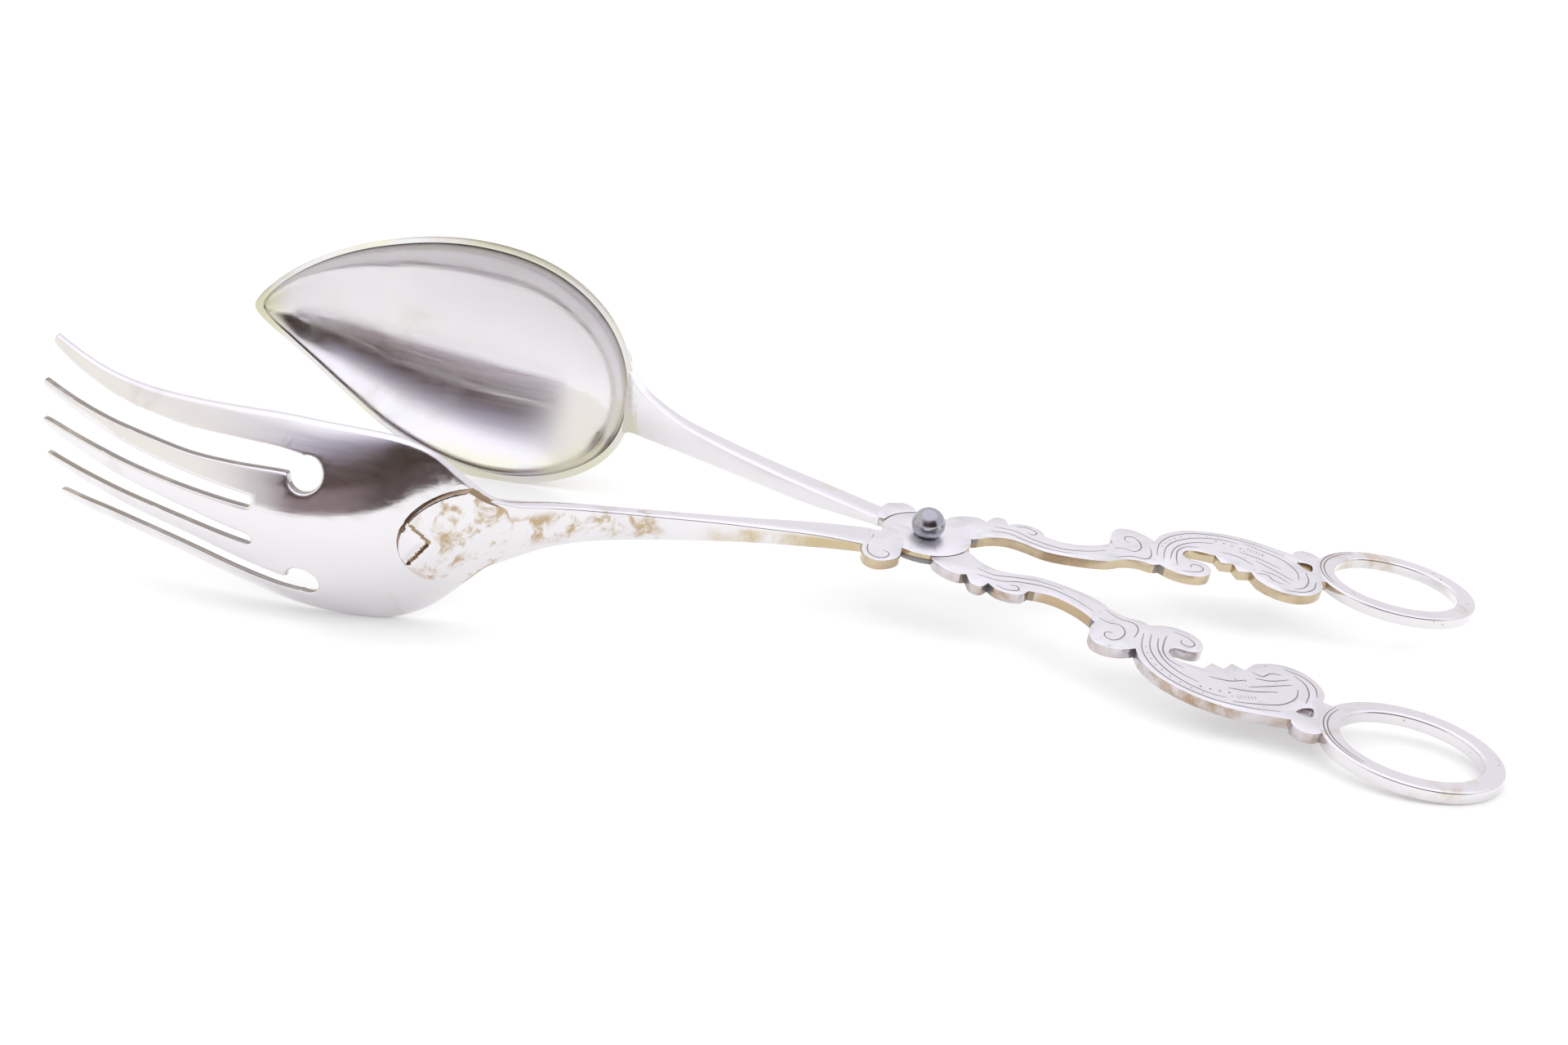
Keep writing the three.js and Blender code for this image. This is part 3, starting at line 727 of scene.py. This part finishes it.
def silver_finish(name, stain, colour="silver", stained=(0.56, 0.12), scale=45,
                  roughness=(0.1, 0.3), relief=0.04, pits=None, fades=(), tints=()):
    """Polished silver with stain patches, polishing lines and, if asked for, pits; some finishes use
    these colours for painted shade, shadow and reflection.

    stained is the threshold and softness of the patches, and fades are the points between which
    they come in. Each tint is a colour, its own fades, and the way that its surfaces look.
    """
    colour = toned(colour)
    material = bpy.data.materials.new(name)
    material.use_nodes = True
    tree = material.node_tree
    coordinates = add_node(tree, "ShaderNodeTexCoord").outputs
    place = coordinates["Object"]
    threshold, softness = stained
    patches = effect(tree, "blotches", place, Scale=scale, Threshold=threshold, Softness=softness)
    patches = faded(tree, patches, place, fades)
    cloud = effect(tree, "blotches", place, **CLOUD)
    base = mixed(tree, cloud, colour, tuple(CLOUD_SHADE * part for part in colour))
    base = mixed(tree, patches, base, toned(stain))
    for tone, tint_fades, looking in tints:
        mask = faded(tree, effect(tree, "blotches", place, **TINT_CLOUD), place, tint_fades)
        if looking:
            way = (TONGS.to_3x3() @ Vector(looking)).normalized()
            faces = effect(tree, "along", coordinates["Normal"], Axis=way, **TINT_FACING)
            mask = calculated(tree, "MULTIPLY", mask, faces)
        base = mixed(tree, mask, base, toned(tone))
    lines = effect(tree, "hairlines", place, **HAIRLINES)
    clean = shaped(tree, lines, 0.3, 0.75, roughness[0], roughness[0] + LINE_ROUGHNESS)
    values = {"Factor": patches, 2: clean, 3: roughness[1]}
    rough = add_node(tree, "ShaderNodeMix", values, data_type="FLOAT").outputs[0]
    height = lines
    if pits:
        holes = effect(tree, "pits", place, Scale=pits[0], Size=pits[1])
        base = mixed(tree, holes, base, PIT_COLOUR)
        height = calculated(tree, "SUBTRACT", lines, holes)
    values = {"Height": height, "Strength": relief, "Distance": RELIEF_HEIGHT}
    bump = add_node(tree, "ShaderNodeBump", values).outputs[0]
    values = {"Metallic": 1.0, "Base Color": base, "Roughness": rough, "Normal": bump}
    feed(tree, tree.nodes["Principled BSDF"], values)
    return material


def finish_named(name):
    """A finish by its name, made when it is first asked for."""
    return bpy.data.materials.get(name) or silver_finish(name, **FINISHES[name])


# ---- Properties --------------------------------------------------------------------------------


def length(label, about, millimetres):
    """A length property, with its default given in millimetres."""
    return bpy.props.FloatProperty(
        name=label, description=about, default=millimetres * MM, min=0.0, unit="LENGTH", precision=5
    )


def colour(label, about, value):
    return bpy.props.FloatVectorProperty(
        name=label, description=about, default=value, size=3, min=0, max=1, subtype="COLOR"
    )


class TongsShape(bpy.types.PropertyGroup):
    """Sizes of the pieces."""

    bowl_half_width: length("Bowl half width", "Half the widest place of the spoon bowl", 28.5)
    bowl_wall: length("Bowl wall", "Thickness of the spoon bowl", 1.5)
    blade_wall: length("Blade wall", "Thickness of the fork blade", 1.7)
    drop_height: length("Heel drop height", "How far the tongue stands out behind the heel", 1.3)
    boss_radius: length("Boss radius", "Radius of the round boss at the pivot", 9)
    lap_radius: length("Lap radius", "Radius of the recess that the boss turns in", 9.3)
    ball_radius: length("Ball radius", "Radius of the pivot's ball head", 3.35)
    ring_thickness: length("Ring thickness", "Thickness of the finger rings", 2.5)
    cut_radius: length("Graver cut", "Radius of the engraved lines", 0.15)


class TongsFinish(bpy.types.PropertyGroup):
    """Colours of the metal."""

    silver: colour("Silver", "Clean polished silver", (0.79, 0.77, 0.79))
    # painted reflection: the warm gold of the far plate's side walls
    tarnish: colour("Tarnish", "Yellow tarnish", (0.6, 0.5, 0.35))
    # oxide in the engraved lines; also painted shadow and shade at the heel drops, the lap and the
    # corners, and painted reflection in the blotches of the plate walls
    brown: colour("Brown tarnish", "Old tarnish on walls", (0.38, 0.27, 0.17))
    oxide: colour("Oxide", "Black left in the engraved lines", (0.3, 0.29, 0.29))
    # real blotches at the fork's heel and stem; on the near plate's walls, part of their painted
    # reflection
    rust: colour("Blotches", "Pinkish brown blotches at the fork's heel", (0.5, 0.385, 0.25))
    golden: colour("Golden streak", "Golden brown streak below the fork's stem", (0.56, 0.46, 0.28))
    cream: colour("Cream rim", "Cream tint at the ends of the bowl's rim", (0.76, 0.75, 0.6))


class TongsStage(bpy.types.PropertyGroup):
    """Light, floor and camera."""

    light: bpy.props.FloatProperty(
        name="Light", description="Strength of the surrounding light", default=1.08, min=0
    )
    floor: colour("Floor", "Colour of the floor", (0.9, 0.9, 0.9))
    floor_size: length("Floor size", "Length of the floor's sides", 12000)
    glow: bpy.props.FloatProperty(
        name="Glow", description="Light that the floor gives off itself", default=0.12, min=0
    )
    azimuth: bpy.props.FloatProperty(
        name="Azimuth", description="Direction that the camera looks from, seen from above",
        default=math.radians(10.695), subtype="ANGLE"
    )
    elevation: bpy.props.FloatProperty(
        name="Elevation", description="Height of the camera above the plates",
        default=math.radians(26.99), subtype="ANGLE"
    )
    roll: bpy.props.FloatProperty(
        name="Roll", description="Turn of the camera about its own line of sight",
        default=math.radians(9.139), subtype="ANGLE"
    )
    distance: length("Distance", "From the camera to the tongs' origin, along its line of sight", 355.9)
    lens: bpy.props.FloatProperty(
        name="Lens", description="Focal length in millimetres", default=41.25, min=1
    )


def size(value):
    """A property's metres in the millimetres that the pieces are drawn in."""
    return value / MM


# ---- Pieces ------------------------------------------------------------------------------------


def egg_fullness(share):
    """Width at a share of the bowl's length from its tip, as a share of the widest."""
    return np.sin(np.pi * share**EGG_SKEW) ** EGG_FULLNESS


class TONGS_OT_bowl(bpy.types.Operator):
    """Model the spoon's egg-shaped bowl"""

    bl_idname = "tongs.bowl"
    bl_label = "Spoon bowl"

    def execute(self, context):
        shape = context.scene.tongs_shape
        wall = size(shape.bowl_wall)
        half_width = size(shape.bowl_half_width)

        def shell(inset, rows=110, across=44):
            """Rows of points over an egg that lies inset within the bowl's outside."""
            eased = (1 - np.cos(np.pi * np.linspace(*BOWL_SPAN, rows))) / 2
            x = BOWL_TIP + inset + eased * (BOWL_HEEL - BOWL_TIP - 2 * inset)
            half = egg_fullness(eased) * (half_width - inset)
            depth = egg_fullness(eased) ** DEPTH_FALL * (BOWL_DEPTH - inset)
            angle = np.linspace(-np.pi / 2, np.pi / 2, across)[None, :]
            drop = depth[:, None] * np.cos(angle).clip(0) ** (2 * BOWL_ROUNDNESS)
            y = rim_line(x)[:, None] + drop
            z = half[:, None] * np.sin(angle)
            return np.stack([np.broadcast_to(x[:, None], y.shape), y, z], -1)

        sections = np.concatenate([shell(0), shell(wall)[:, ::-1]], axis=1)
        bowl = lofted("polished_spoon_bowl", sections)
        soften(bowl, 0.35, 3, 50)
        finish_piece(bowl, "spoon_arm", "bowl_silver", "spoon_bowl", "polished_bowl")
        return {"FINISHED"}


def tine_tip(inner, outer, tip, steps=9):
    """Round end of a tine whose sides lie at inner(x) and outer(x), from outer to inner."""
    half = (outer(tip) - inner(tip)) / 2
    middle = (outer(tip) + inner(tip)) / 2
    return arc((tip + half, middle), (half, half), 90, 270, steps)[1:-1]


def tine_side(edge, start, end, spacing=1.6):
    """Points along an edge, given as edge(x), from one x to another."""
    x = np.linspace(start, end, max(3, round(abs(end - start) / spacing)))
    return np.column_stack([x, edge(x)])


def fork_outline():
    """Outline of the flattened blade, from the heel round all five tines."""
    centre_side, second_inner, second_outer, outer_inner = (line(edge) for edge in SLOT_EDGES)
    hole_x, hole_z, hole_radius = OUTER_SLOT_HOLE
    end_x, end_z, end_radius = INNER_SLOT_END
    short = OUTER_TINE_TIP + OUTER_TIP_LENGTH
    long = INNER_TINE_TIP + INNER_TIP_LENGTH
    half = np.vstack([
        tine_side(blade_half_width, BLADE_HEEL, short),
        tine_tip(outer_inner, blade_half_width, OUTER_TINE_TIP),
        tine_side(outer_inner, short, hole_x - 1.6),
        arc((hole_x, hole_z), (hole_radius, hole_radius), 110, -172, 22),
        tine_side(second_outer, hole_x - hole_radius - 0.5, long),
        tine_tip(second_inner, second_outer, INNER_TINE_TIP),
        tine_side(second_inner, long, end_x - 0.4),
        arc((end_x, end_z), (end_radius, end_radius), 80, -80, 9),
        tine_side(centre_side, end_x - 0.4, long),
    ])
    centre_tip = tine_tip(lambda x: -centre_side(x), centre_side, INNER_TINE_TIP)
    return np.vstack([half, centre_tip, half[::-1] * (1, -1)])


def blade_surface(x, z):
    """Distance of the blade's middle surface behind the tongs' middle plane."""
    share = np.clip(z / blade_half_width(x), -1, 1)
    return blade_edge(x) + blade_dish(x) * (1 - share**2)


class TONGS_OT_fork(bpy.types.Operator):
    """Model the five-tined fork blade"""

    bl_idname = "tongs.fork"
    bl_label = "Fork blade"

    def execute(self, context):
        half_wall = size(context.scene.tongs_shape.blade_wall) / 2
        outline = fork_outline()
        blade = cut_sheet("polished_fork_blade", outline, BLADE_INSETS, *BLADE_GRID)
        x, z, layer = points_of(blade).T
        from_edge = edge_distance(np.column_stack([x, z]), outline)
        thick = half_wall * rounding(from_edge, *BLADE_ROUNDING)
        y = -blade_surface(x, z) + np.where(layer > 0.5, thick, -thick)
        set_points(blade, np.column_stack([x, y, z]))
        face_out(blade)
        centres = np.array([face.center for face in blade.data.polygons])
        up = np.array([face.normal.z for face in blade.data.polygons])
        # the slot walls that face up get the dark finish: painted shade along one side of each slot
        # between the tines
        in_slot = np.abs(centres[:, 2]) < blade_half_width(centres[:, 0]) - 0.5
        on_wall = edge_distance(centres[:, ::2], outline) < 0.09
        give_finishes(blade, ("polished_fork", "slot_wall"), in_slot & on_wall & (up > 0.5))
        finish_piece(blade, "fork_arm", "fork_silver", "fork_blade", angle=50)
        return {"FINISHED"}


def drop_outline(half_width_at, end):
    """Tongue with a round tip, no wider than the head that it lies on."""
    straight = DROP_TIP + DROP_HALF_WIDTH

    def edge(x):
        return np.minimum(DROP_HALF_WIDTH, half_width_at(x) - 0.1)

    side = tine_side(edge, end, straight, 0.8)
    tip = arc((straight, 0), (DROP_HALF_WIDTH, DROP_HALF_WIDTH), 90, 180, 22)
    half = np.vstack([side, tip[1:-1]])
    return np.vstack([half, tip[-1:], half[::-1] * (1, -1)])


def chevron_depth(x, z):
    """Depth of the V-shaped cut at each point, deepest on the chevron's line."""
    corners = np.array(CHEVRON)
    nearest = distance_to(corners[:-1], corners[1:], np.column_stack([x, z]))
    return CHEVRON_DEPTH * np.clip(1 - nearest / CHEVRON_REACH, 0, 1)


class TONGS_OT_heel_drops(bpy.types.Operator):
    """Model the raised tongues behind the heels of fork and spoon"""

    bl_idname = "tongs.heel_drops"
    bl_label = "Heel drops"

    def execute(self, context):
        shape = context.scene.tongs_shape
        half_wall = size(shape.blade_wall) / 2
        bowl_half_width = size(shape.bowl_half_width)

        def bowl_width(x):
            along = np.clip((x - BOWL_TIP) / (BOWL_HEEL - BOWL_TIP), 0, 1)
            return bowl_half_width * egg_fullness(along)

        def fork_back(x, z):
            return -blade_surface(x, z) - half_wall

        def spoon_back(x, z):
            share = np.clip(z / np.maximum(bowl_width(x), 0.1), -1, 1)
            depth = BOWL_DEPTH * (bowl_width(x) / bowl_half_width) ** DEPTH_FALL
            return rim_line(x) + depth * (1 - share**2) ** BOWL_ROUNDNESS

        def spoon_width(x):
            return SPOON_DROP_SHARE * bowl_width(x)

        heels = (
            ("fork", fork_back, blade_half_width, DROP_END, -1),
            ("spoon", spoon_back, spoon_width, SPOON_DROP_END, 1),
        )
        for head, back, half_width_at, end, outward in heels:
            outline = drop_outline(half_width_at, end)
            drop = cut_sheet(f"raised_{head}_drop", outline, DROP_INSETS, *DROP_GRID)
            x, z, layer = points_of(drop).T
            rise = size(shape.drop_height) * np.interp(x, DROP_BLEND, (1, DROP_SUNK))
            rise *= rounding(edge_distance(np.column_stack([x, z]), outline), DROP_ROUNDING)
            rise -= chevron_depth(x, z)
            offset = np.where(layer > 0.5, rise, -DROP_ROOT)
            set_points(drop, np.column_stack([x, back(x, z) + outward * offset, z]))
            face_out(drop)
            centres = np.array([face.center for face in drop.data.polygons])[:, ::2]
            # painted shadow: the drop's wall near its tip gets the dark finish as a shadow line, and
            # the chevron's flank on the stem's side gets it as painted shade
            at_edge = edge_distance(centres, outline) < DROP_SHADOW_WIDTH
            wall = at_edge & (centres[:, 0] < DROP_SHADOW_END)
            depth = chevron_depth(*centres.T)
            shaded_flank = (depth > 0.1) & (chevron_depth(*(centres - (0.1, 0)).T) > depth)
            give_finishes(drop, ("stained_heel", "drop_edge"), wall | shaded_flank)
            finish_piece(drop, f"{head}_arm", "tarnished_silver", f"{head}_heel_drop", angle=38)
        return {"FINISHED"}


class TONGS_OT_stems(bpy.types.Operator):
    """Model the bevelled bars between the pivot and the heads"""

    bl_idname = "tongs.stems"
    bl_label = "Stems"

    def execute(self, context):
        stems = (
            ("fork", FORK_STEM, "tarnished_silver"),
            ("spoon", SPOON_STEM, "stem_silver"),
        )
        for head, stations, slot in stems:
            path = spline([station[:2] for station in stations], 9)
            width = line([(station[0], station[2]) for station in stations])
            half_height = line([(station[0], station[3]) for station in stations])
            ways = np.gradient(path, axis=0)
            ways /= np.linalg.norm(ways, axis=1)[:, None]
            sections = []
            for (x, y), (way_x, way_y) in zip(path, ways):
                w, h = width(x) / 2, half_height(x)
                corner = STEM_CORNER * min(w, h)
                section = [
                    (-w, h - corner), (corner - w, h), (w - corner, h), (w, h - corner),
                    (w, corner - h), (w - corner, -h), (corner - w, -h), (-w, corner - h),
                ]
                sections.append([(x - way_y * out, y + way_x * out, up) for out, up in section])
            stem = lofted(f"worn_{head}_stem", sections)
            soften(stem, 0.1, 2, 25)
            finish = f"{head}_stem_finish"
            finish_piece(stem, f"{head}_arm", slot, f"{head}_stem", finish, angle=24)
        return {"FINISHED"}


def handle_points(points, side):
    """Points of a handle on one side: the handles mirror each other in the line from the pivot."""
    x, y = np.array(points, float).T
    return np.column_stack([x, side * y + PIVOT.y * (1 - x / RING_X)])


def cut_line(obj, path, radius, top):
    """Engraves a line in the surface of obj at height top: thin where it starts and ends."""
    ways = np.gradient(path, axis=0)
    ways /= np.linalg.norm(ways, axis=1)[:, None]
    share = np.linspace(0, 1, len(path))
    swell = radius * (CUT_END + (1 - CUT_END) * np.sin(np.pi * share) ** CUT_SWELL)
    angles = np.radians(np.arange(0, 360, 60))
    out = swell[:, None] * np.cos(angles)
    up = top + CUT_LIFT + swell[:, None] * np.sin(angles)
    x = path[:, :1] - ways[:, 1:] * out
    y = path[:, 1:] + ways[:, :1] * out
    cut = lofted("graver_cut", np.stack([x, y, up], -1))
    give_finishes(cut, ("graver_cut",))
    combine(obj, cut)


def engrave(plate, side, radius):
    """Cuts the scrolls, border ticks, dots and hatching into a handle's top."""
    strokes = [spline(handle_points(stroke, side), 8) for stroke in STROKES]
    cuts = [(stroke, 1) for stroke in strokes]
    if side > 0:
        cuts.append((spline(LOBE_STROKE, 8), 1))
    outer, inner = strokes[1:3]
    for tick in BORDER_TICKS:
        start = outer[8 + 4 * tick]
        end = inner[np.argmin(np.linalg.norm(inner - start, axis=1))]
        cuts.append((np.array([start + (end - start) * share for share in (0.35, 0.5, 0.65)]), 0.8))
    for x, y in HATCHING:
        ends = [(x, y), (x + 0.25, y + HATCH_LENGTH / 2), (x + 0.5, y + HATCH_LENGTH)]
        cuts.append((handle_points(ends, side), 0.6))
    for x, y in DOTS:
        cuts.append((handle_points([(x - 0.25, y), (x, y), (x + 0.25, y)], side), 1.4))
    for path, weight in cuts:
        cut_line(plate, path, radius * weight, PLATE_TOP)


class TONGS_OT_scroll_plates(bpy.types.Operator):
    """Model the engraved scroll handles with the half-lap joint at the pivot"""

    bl_idname = "tongs.scroll_plates"
    bl_label = "Scroll plates"

    def execute(self, context):
        shape = context.scene.tongs_shape
        boss, lap = size(shape.boss_radius), size(shape.lap_radius)
        plates = (
            ("far", 1, FORK_FRONT, "fork", (-3, 0.08)),
            ("near", -1, SPOON_FRONT, "spoon", (-0.08, 3)),
        )
        for place, side, front, head, lap_heights in plates:
            stretches = [handle_points(stretch, side) for stretch in HANDLE_STRETCHES]
            plate = slab(f"{place}_scroll_plate", smoothed(stretches), -PLATE_TOP, PLATE_TOP)
            combine(plate, slab("front", smoothed(front), -PLATE_TOP, PLATE_TOP), "UNION")
            combine(plate, cylinder("boss", boss, -PLATE_TOP, PLATE_TOP), "UNION")
            combine(plate, cylinder("lap", lap, *lap_heights))
            combine(plate, cylinder("bore", BORE_RADIUS, *THROUGH, BORE_SIDES))
            centre = (RING_CENTRE[0], side * RING_CENTRE[1])
            ring = arc(centre, [radius - RING_OVERLAP for radius in RING_OUTER], 0, 357, 120)
            combine(plate, slab("ring_space", ring, *THROUGH))
            hole = spline(handle_points([*PIERCED_HOLE, PIERCED_HOLE[0]], side), 5)[:-1]
            combine(plate, slab("pierced", hole, *THROUGH))
            soften(plate, 0.16, 2)
            corners = handle_points(CORNERS, side)
            # Wall faces round the near plate's lap recess get the third, dark finish as a painted
            # shadow between the plates, and wall faces by the inner corners get it as tarnish with
            # painted shade. The other walls get the wall finish, whose warm colour is a painted
            # reflection.
            of_faces = []
            for face in plate.data.polygons:
                in_lap_shadow = side < 0 and (face.center - PIVOT).xy.length < lap + LAP_SHADOW
                in_corner_shade = np.linalg.norm(corners - face.center[:2], axis=1).min() < CORNER_SHADE
                on_wall = abs(face.normal.z) < 0.6
                of_faces.append((2 if in_lap_shadow or in_corner_shade else 1) if on_wall else 0)
            give_finishes(plate, ("engraved_plate", f"{place}_wall", "graver_cut"), of_faces)
            engrave(plate, side, size(shape.cut_radius))
            finish_piece(plate, f"{head}_arm", "engraved_silver", f"{head}_handle")
        return {"FINISHED"}


class TONGS_OT_finger_rings(bpy.types.Operator):
    """Model the oval finger rings with the engraved lines where they join the handles"""

    bl_idname = "tongs.finger_rings"
    bl_label = "Finger rings"

    def execute(self, context):
        shape = context.scene.tongs_shape
        half = size(shape.ring_thickness) / 2
        section = np.radians(np.arange(0, 360, 10))
        squared = [
            np.sign(part(section)) * np.abs(part(section)) ** RING_SQUARENESS
            for part in (np.cos, np.sin)
        ]
        share = 0.5 + 0.5 * squared[0]
        steps = 144
        for name, side, head in (("far_ring", 1, "fork"), ("near_ring", -1, "spoon")):
            centre = (RING_CENTRE[0], side * RING_CENTRE[1])
            inner, outer = (
                arc(centre, radii, 0, 360 - 360 / steps, steps) for radii in (RING_INNER, RING_OUTER)
            )
            flat = inner[:, None] + share[None, :, None] * (outer - inner)[:, None]
            up = np.broadcast_to(half * squared[1], flat.shape[:2])
            ring = lofted(name, np.dstack([flat, up]), ring=True)
            give_finishes(ring, ("ring_band", "graver_cut"))
            first, last = RING_LINE_ENDS if side > 0 else (360 - end for end in RING_LINE_ENDS)
            for inset in RING_LINES:
                path = arc(centre, [radius - inset for radius in RING_OUTER], first, last, 40)
                cut_line(ring, path, size(shape.cut_radius), half)
            finish_piece(ring, f"{head}_arm", "ring_silver", f"{head}_finger_ring")
        return {"FINISHED"}


class TONGS_OT_pivot(bpy.types.Operator):
    """Model the ball head, pin, washer and nut of the pivot"""

    bl_idname = "tongs.pivot"
    bl_label = "Pivot"

    def execute(self, context):
        shape = context.scene.tongs_shape
        radius = size(shape.ball_radius)
        deselect()
        centre = (PIVOT.x, PIVOT.y, PLATE_TOP + BALL_HEIGHT)
        bpy.ops.mesh.primitive_uv_sphere_add(
            segments=72, ring_count=48, radius=radius, location=centre
        )
        ball = placed("ball_head")
        edit_all(ball)
        seat = (0, 0, PLATE_TOP + BALL_SEAT)
        bpy.ops.mesh.bisect(plane_co=seat, plane_no=(0, 0, 1), clear_inner=True, use_fill=True)
        face_out(ball)
        soften(ball, 0.18, 3)
        finish_piece(ball, "fork_arm", "pivot_steel", "pivot_ball", "dark_ball")

        nut_top = WASHER_TOP - WASHER_THICKNESS
        nut_bottom = nut_top - NUT_THICKNESS
        pin_radius = BORE_RADIUS - PIN_PLAY
        pin_top = PLATE_TOP + PIN_GRIP
        pin = cylinder("pivot_shank", pin_radius, nut_bottom - PIN_END, pin_top, BORE_SIDES)
        soften(pin, 0.4, 4)
        finish_piece(pin, "fork_arm", "pivot_steel", "pivot_pin", "dark_ball")

        bore = ("bore", pin_radius + THREAD_PLAY, nut_bottom - 3, 3, BORE_SIDES)
        washer_top = WASHER_TOP + WASHER_RISE
        washer = cylinder("flat_washer", WASHER_RADIUS, nut_top + THREAD_PLAY, washer_top)
        combine(washer, cylinder(*bore))
        soften(washer, 0.15, 3)
        finish_piece(washer, "fork_arm", "ring_silver", "pivot_washer", "ring_band")

        nut = cylinder("slotted_nut", NUT_RADIUS, nut_bottom, nut_top)
        combine(nut, cylinder(*bore))
        for sign in (1, -1):
            deselect()
            place = (PIVOT.x + sign * NUT_RADIUS, PIVOT.y, nut_bottom)
            bpy.ops.mesh.primitive_cube_add(size=1, location=place, scale=NUT_NOTCH)
            combine(nut, placed("notch"))
        soften(nut, 0.2, 3)
        finish_piece(nut, "fork_arm", "pivot_steel", "pivot_nut", "dark_ball")
        return {"FINISHED"}


# ---- Stage -------------------------------------------------------------------------------------


def colour_ramp(tree, value, stops):
    """Colours blended between stops, each a place and a colour."""
    ramp = add_node(tree, "ShaderNodeValToRGB", {"Fac": value})
    elements = ramp.color_ramp.elements
    while len(elements) < len(stops):
        elements.new(0.5)
    for element, (place, tone) in zip(elements, stops):
        element.position = place
        element.color = (*tone, 1)
    return ramp.outputs[0]


def studio_world(strength):
    """White walls and ceiling, and a dim room in front that the silver reflects."""
    world = bpy.data.worlds.new("studio")
    world.use_nodes = True
    tree = world.node_tree
    way = add_node(tree, "ShaderNodeTexCoord").outputs["Generated"]

    def towards(axis, start, end):
        return effect(tree, "along", way, Axis=axis, From=start, To=end)

    seen = mixed(tree, towards((-1, 0, 0), 0.35, 0.9), WALLS, LEFT_WALL)
    seen = mixed(tree, towards((0, 0, 1), 0.6, 0.8), seen, CEILING)
    parts = add_node(tree, "ShaderNodeSeparateXYZ", {"Vector": way})
    room = colour_ramp(tree, parts.outputs["Z"], ROOM_HEIGHTS)
    on_right = calculated(tree, "MULTIPLY", towards((1, 0, 0), 0.1, 0.45), 0.75)
    room = mixed(tree, on_right, room, ROOM_RIGHT)
    in_front = towards((0, -1, 0), 0.2, 0.5)
    for side in (towards((1, 0, 0), -0.8, -0.25), towards((0, 0, -1), -0.7, -0.55)):
        in_front = calculated(tree, "MULTIPLY", in_front, side)
    seen = mixed(tree, in_front, seen, room)
    seen_in_metal = add_node(tree, "ShaderNodeLightPath").outputs["Is Glossy Ray"]
    shown = mixed(tree, seen_in_metal, WHITE, seen)
    feed(tree, tree.nodes["Background"], {"Color": shown, "Strength": strength})
    return world


def softbox(name, location, power, tone):
    """A soft light that shines on the tongs but doesn't show in them."""
    deselect()
    bpy.ops.object.light_add(type="AREA", location=location)
    light = named(name)
    light.data.shape = "ELLIPSE"
    light.data.size = SOFTBOX_SIDES[0]
    light.data.size_y = SOFTBOX_SIDES[1]
    light.data.energy = power
    light.data.color = tone
    way = Vector(LIT_PLACE) - Vector(location)
    light.rotation_euler = way.to_track_quat("-Z", "Y").to_euler()
    light.visible_camera = False
    light.visible_glossy = False


class TONGS_OT_stage(bpy.types.Operator):
    """Add the pale floor, the soft lights and the camera"""

    bl_idname = "tongs.stage"
    bl_label = "Stage"

    def execute(self, context):
        stage = context.scene.tongs_stage
        deselect()
        middle = (0, stage.floor_size / 2 - FLOOR_FRONT * MM, 0)
        bpy.ops.mesh.primitive_plane_add(size=stage.floor_size, location=middle)
        floor = named("floor")
        paint = bpy.data.materials.new("floor_paint")
        paint.use_nodes = True
        feed(paint.node_tree, paint.node_tree.nodes["Principled BSDF"], {
            "Base Color": (*stage.floor, 1), "Roughness": 0.9, "Emission Color": (*WHITE, 1),
            "Emission Strength": stage.glow,
        })
        floor.data.materials.append(paint)

        context.scene.world = studio_world(stage.light)
        for light in SOFTBOXES:
            softbox(*light)

        bpy.ops.object.camera_add()
        camera = named("camera")
        camera.data.sensor_width = 36
        camera.data.lens = stage.lens
        camera.data.clip_start = 0.01
        side = Vector((math.cos(stage.azimuth), math.sin(stage.azimuth), 0))
        back = Vector((
            math.sin(stage.azimuth) * math.cos(stage.elevation),
            -math.cos(stage.azimuth) * math.cos(stage.elevation),
            math.sin(stage.elevation),
        ))
        up = back.cross(side)
        right = math.cos(stage.roll) * side + math.sin(stage.roll) * up
        top = math.cos(stage.roll) * up - math.sin(stage.roll) * side
        place = back * size(stage.distance) - right * AIM[0] - top * AIM[1]
        turn = Matrix((right, top, back)).transposed().to_4x4()
        placed = TONGS @ Matrix.Translation(place) @ turn
        camera.matrix_world = Matrix.LocRotScale(placed.translation, placed.to_quaternion(), None)
        context.scene.camera = camera
        context.scene.view_settings.view_transform = "Standard"
        return {"FINISHED"}


class TONGS_PT_panel(bpy.types.Panel):
    """Buttons that build the tongs, and the values they use"""

    bl_label = "Serving tongs"
    bl_idname = "TONGS_PT_panel"
    bl_space_type = "VIEW_3D"
    bl_region_type = "UI"
    bl_category = "Tongs"

    def draw(self, context):
        layout = self.layout
        for operator in PIECES:
            layout.operator(operator.bl_idname)
        for name in GROUPS:
            group = getattr(context.scene, name)
            box = layout.box()
            for label in group.__annotations__:
                box.prop(group, label)


PIECES = (
    TONGS_OT_stage,
    TONGS_OT_bowl,
    TONGS_OT_fork,
    TONGS_OT_heel_drops,
    TONGS_OT_stems,
    TONGS_OT_scroll_plates,
    TONGS_OT_finger_rings,
    TONGS_OT_pivot,
)
GROUPS = {"tongs_shape": TongsShape, "tongs_finish": TongsFinish, "tongs_stage": TongsStage}
CLASSES = (*GROUPS.values(), *PIECES, TONGS_PT_panel)


def register():
    for cls in CLASSES:
        bpy.utils.register_class(cls)
    for name, group in GROUPS.items():
        setattr(bpy.types.Scene, name, bpy.props.PointerProperty(type=group))


def unregister():
    for name in GROUPS:
        delattr(bpy.types.Scene, name)
    for cls in reversed(CLASSES):
        bpy.utils.unregister_class(cls)


def main():
    register()
    for operator in PIECES:
        family, name = operator.bl_idname.split(".")
        getattr(getattr(bpy.ops, family), name)()


if __name__ == "__main__":
    main()
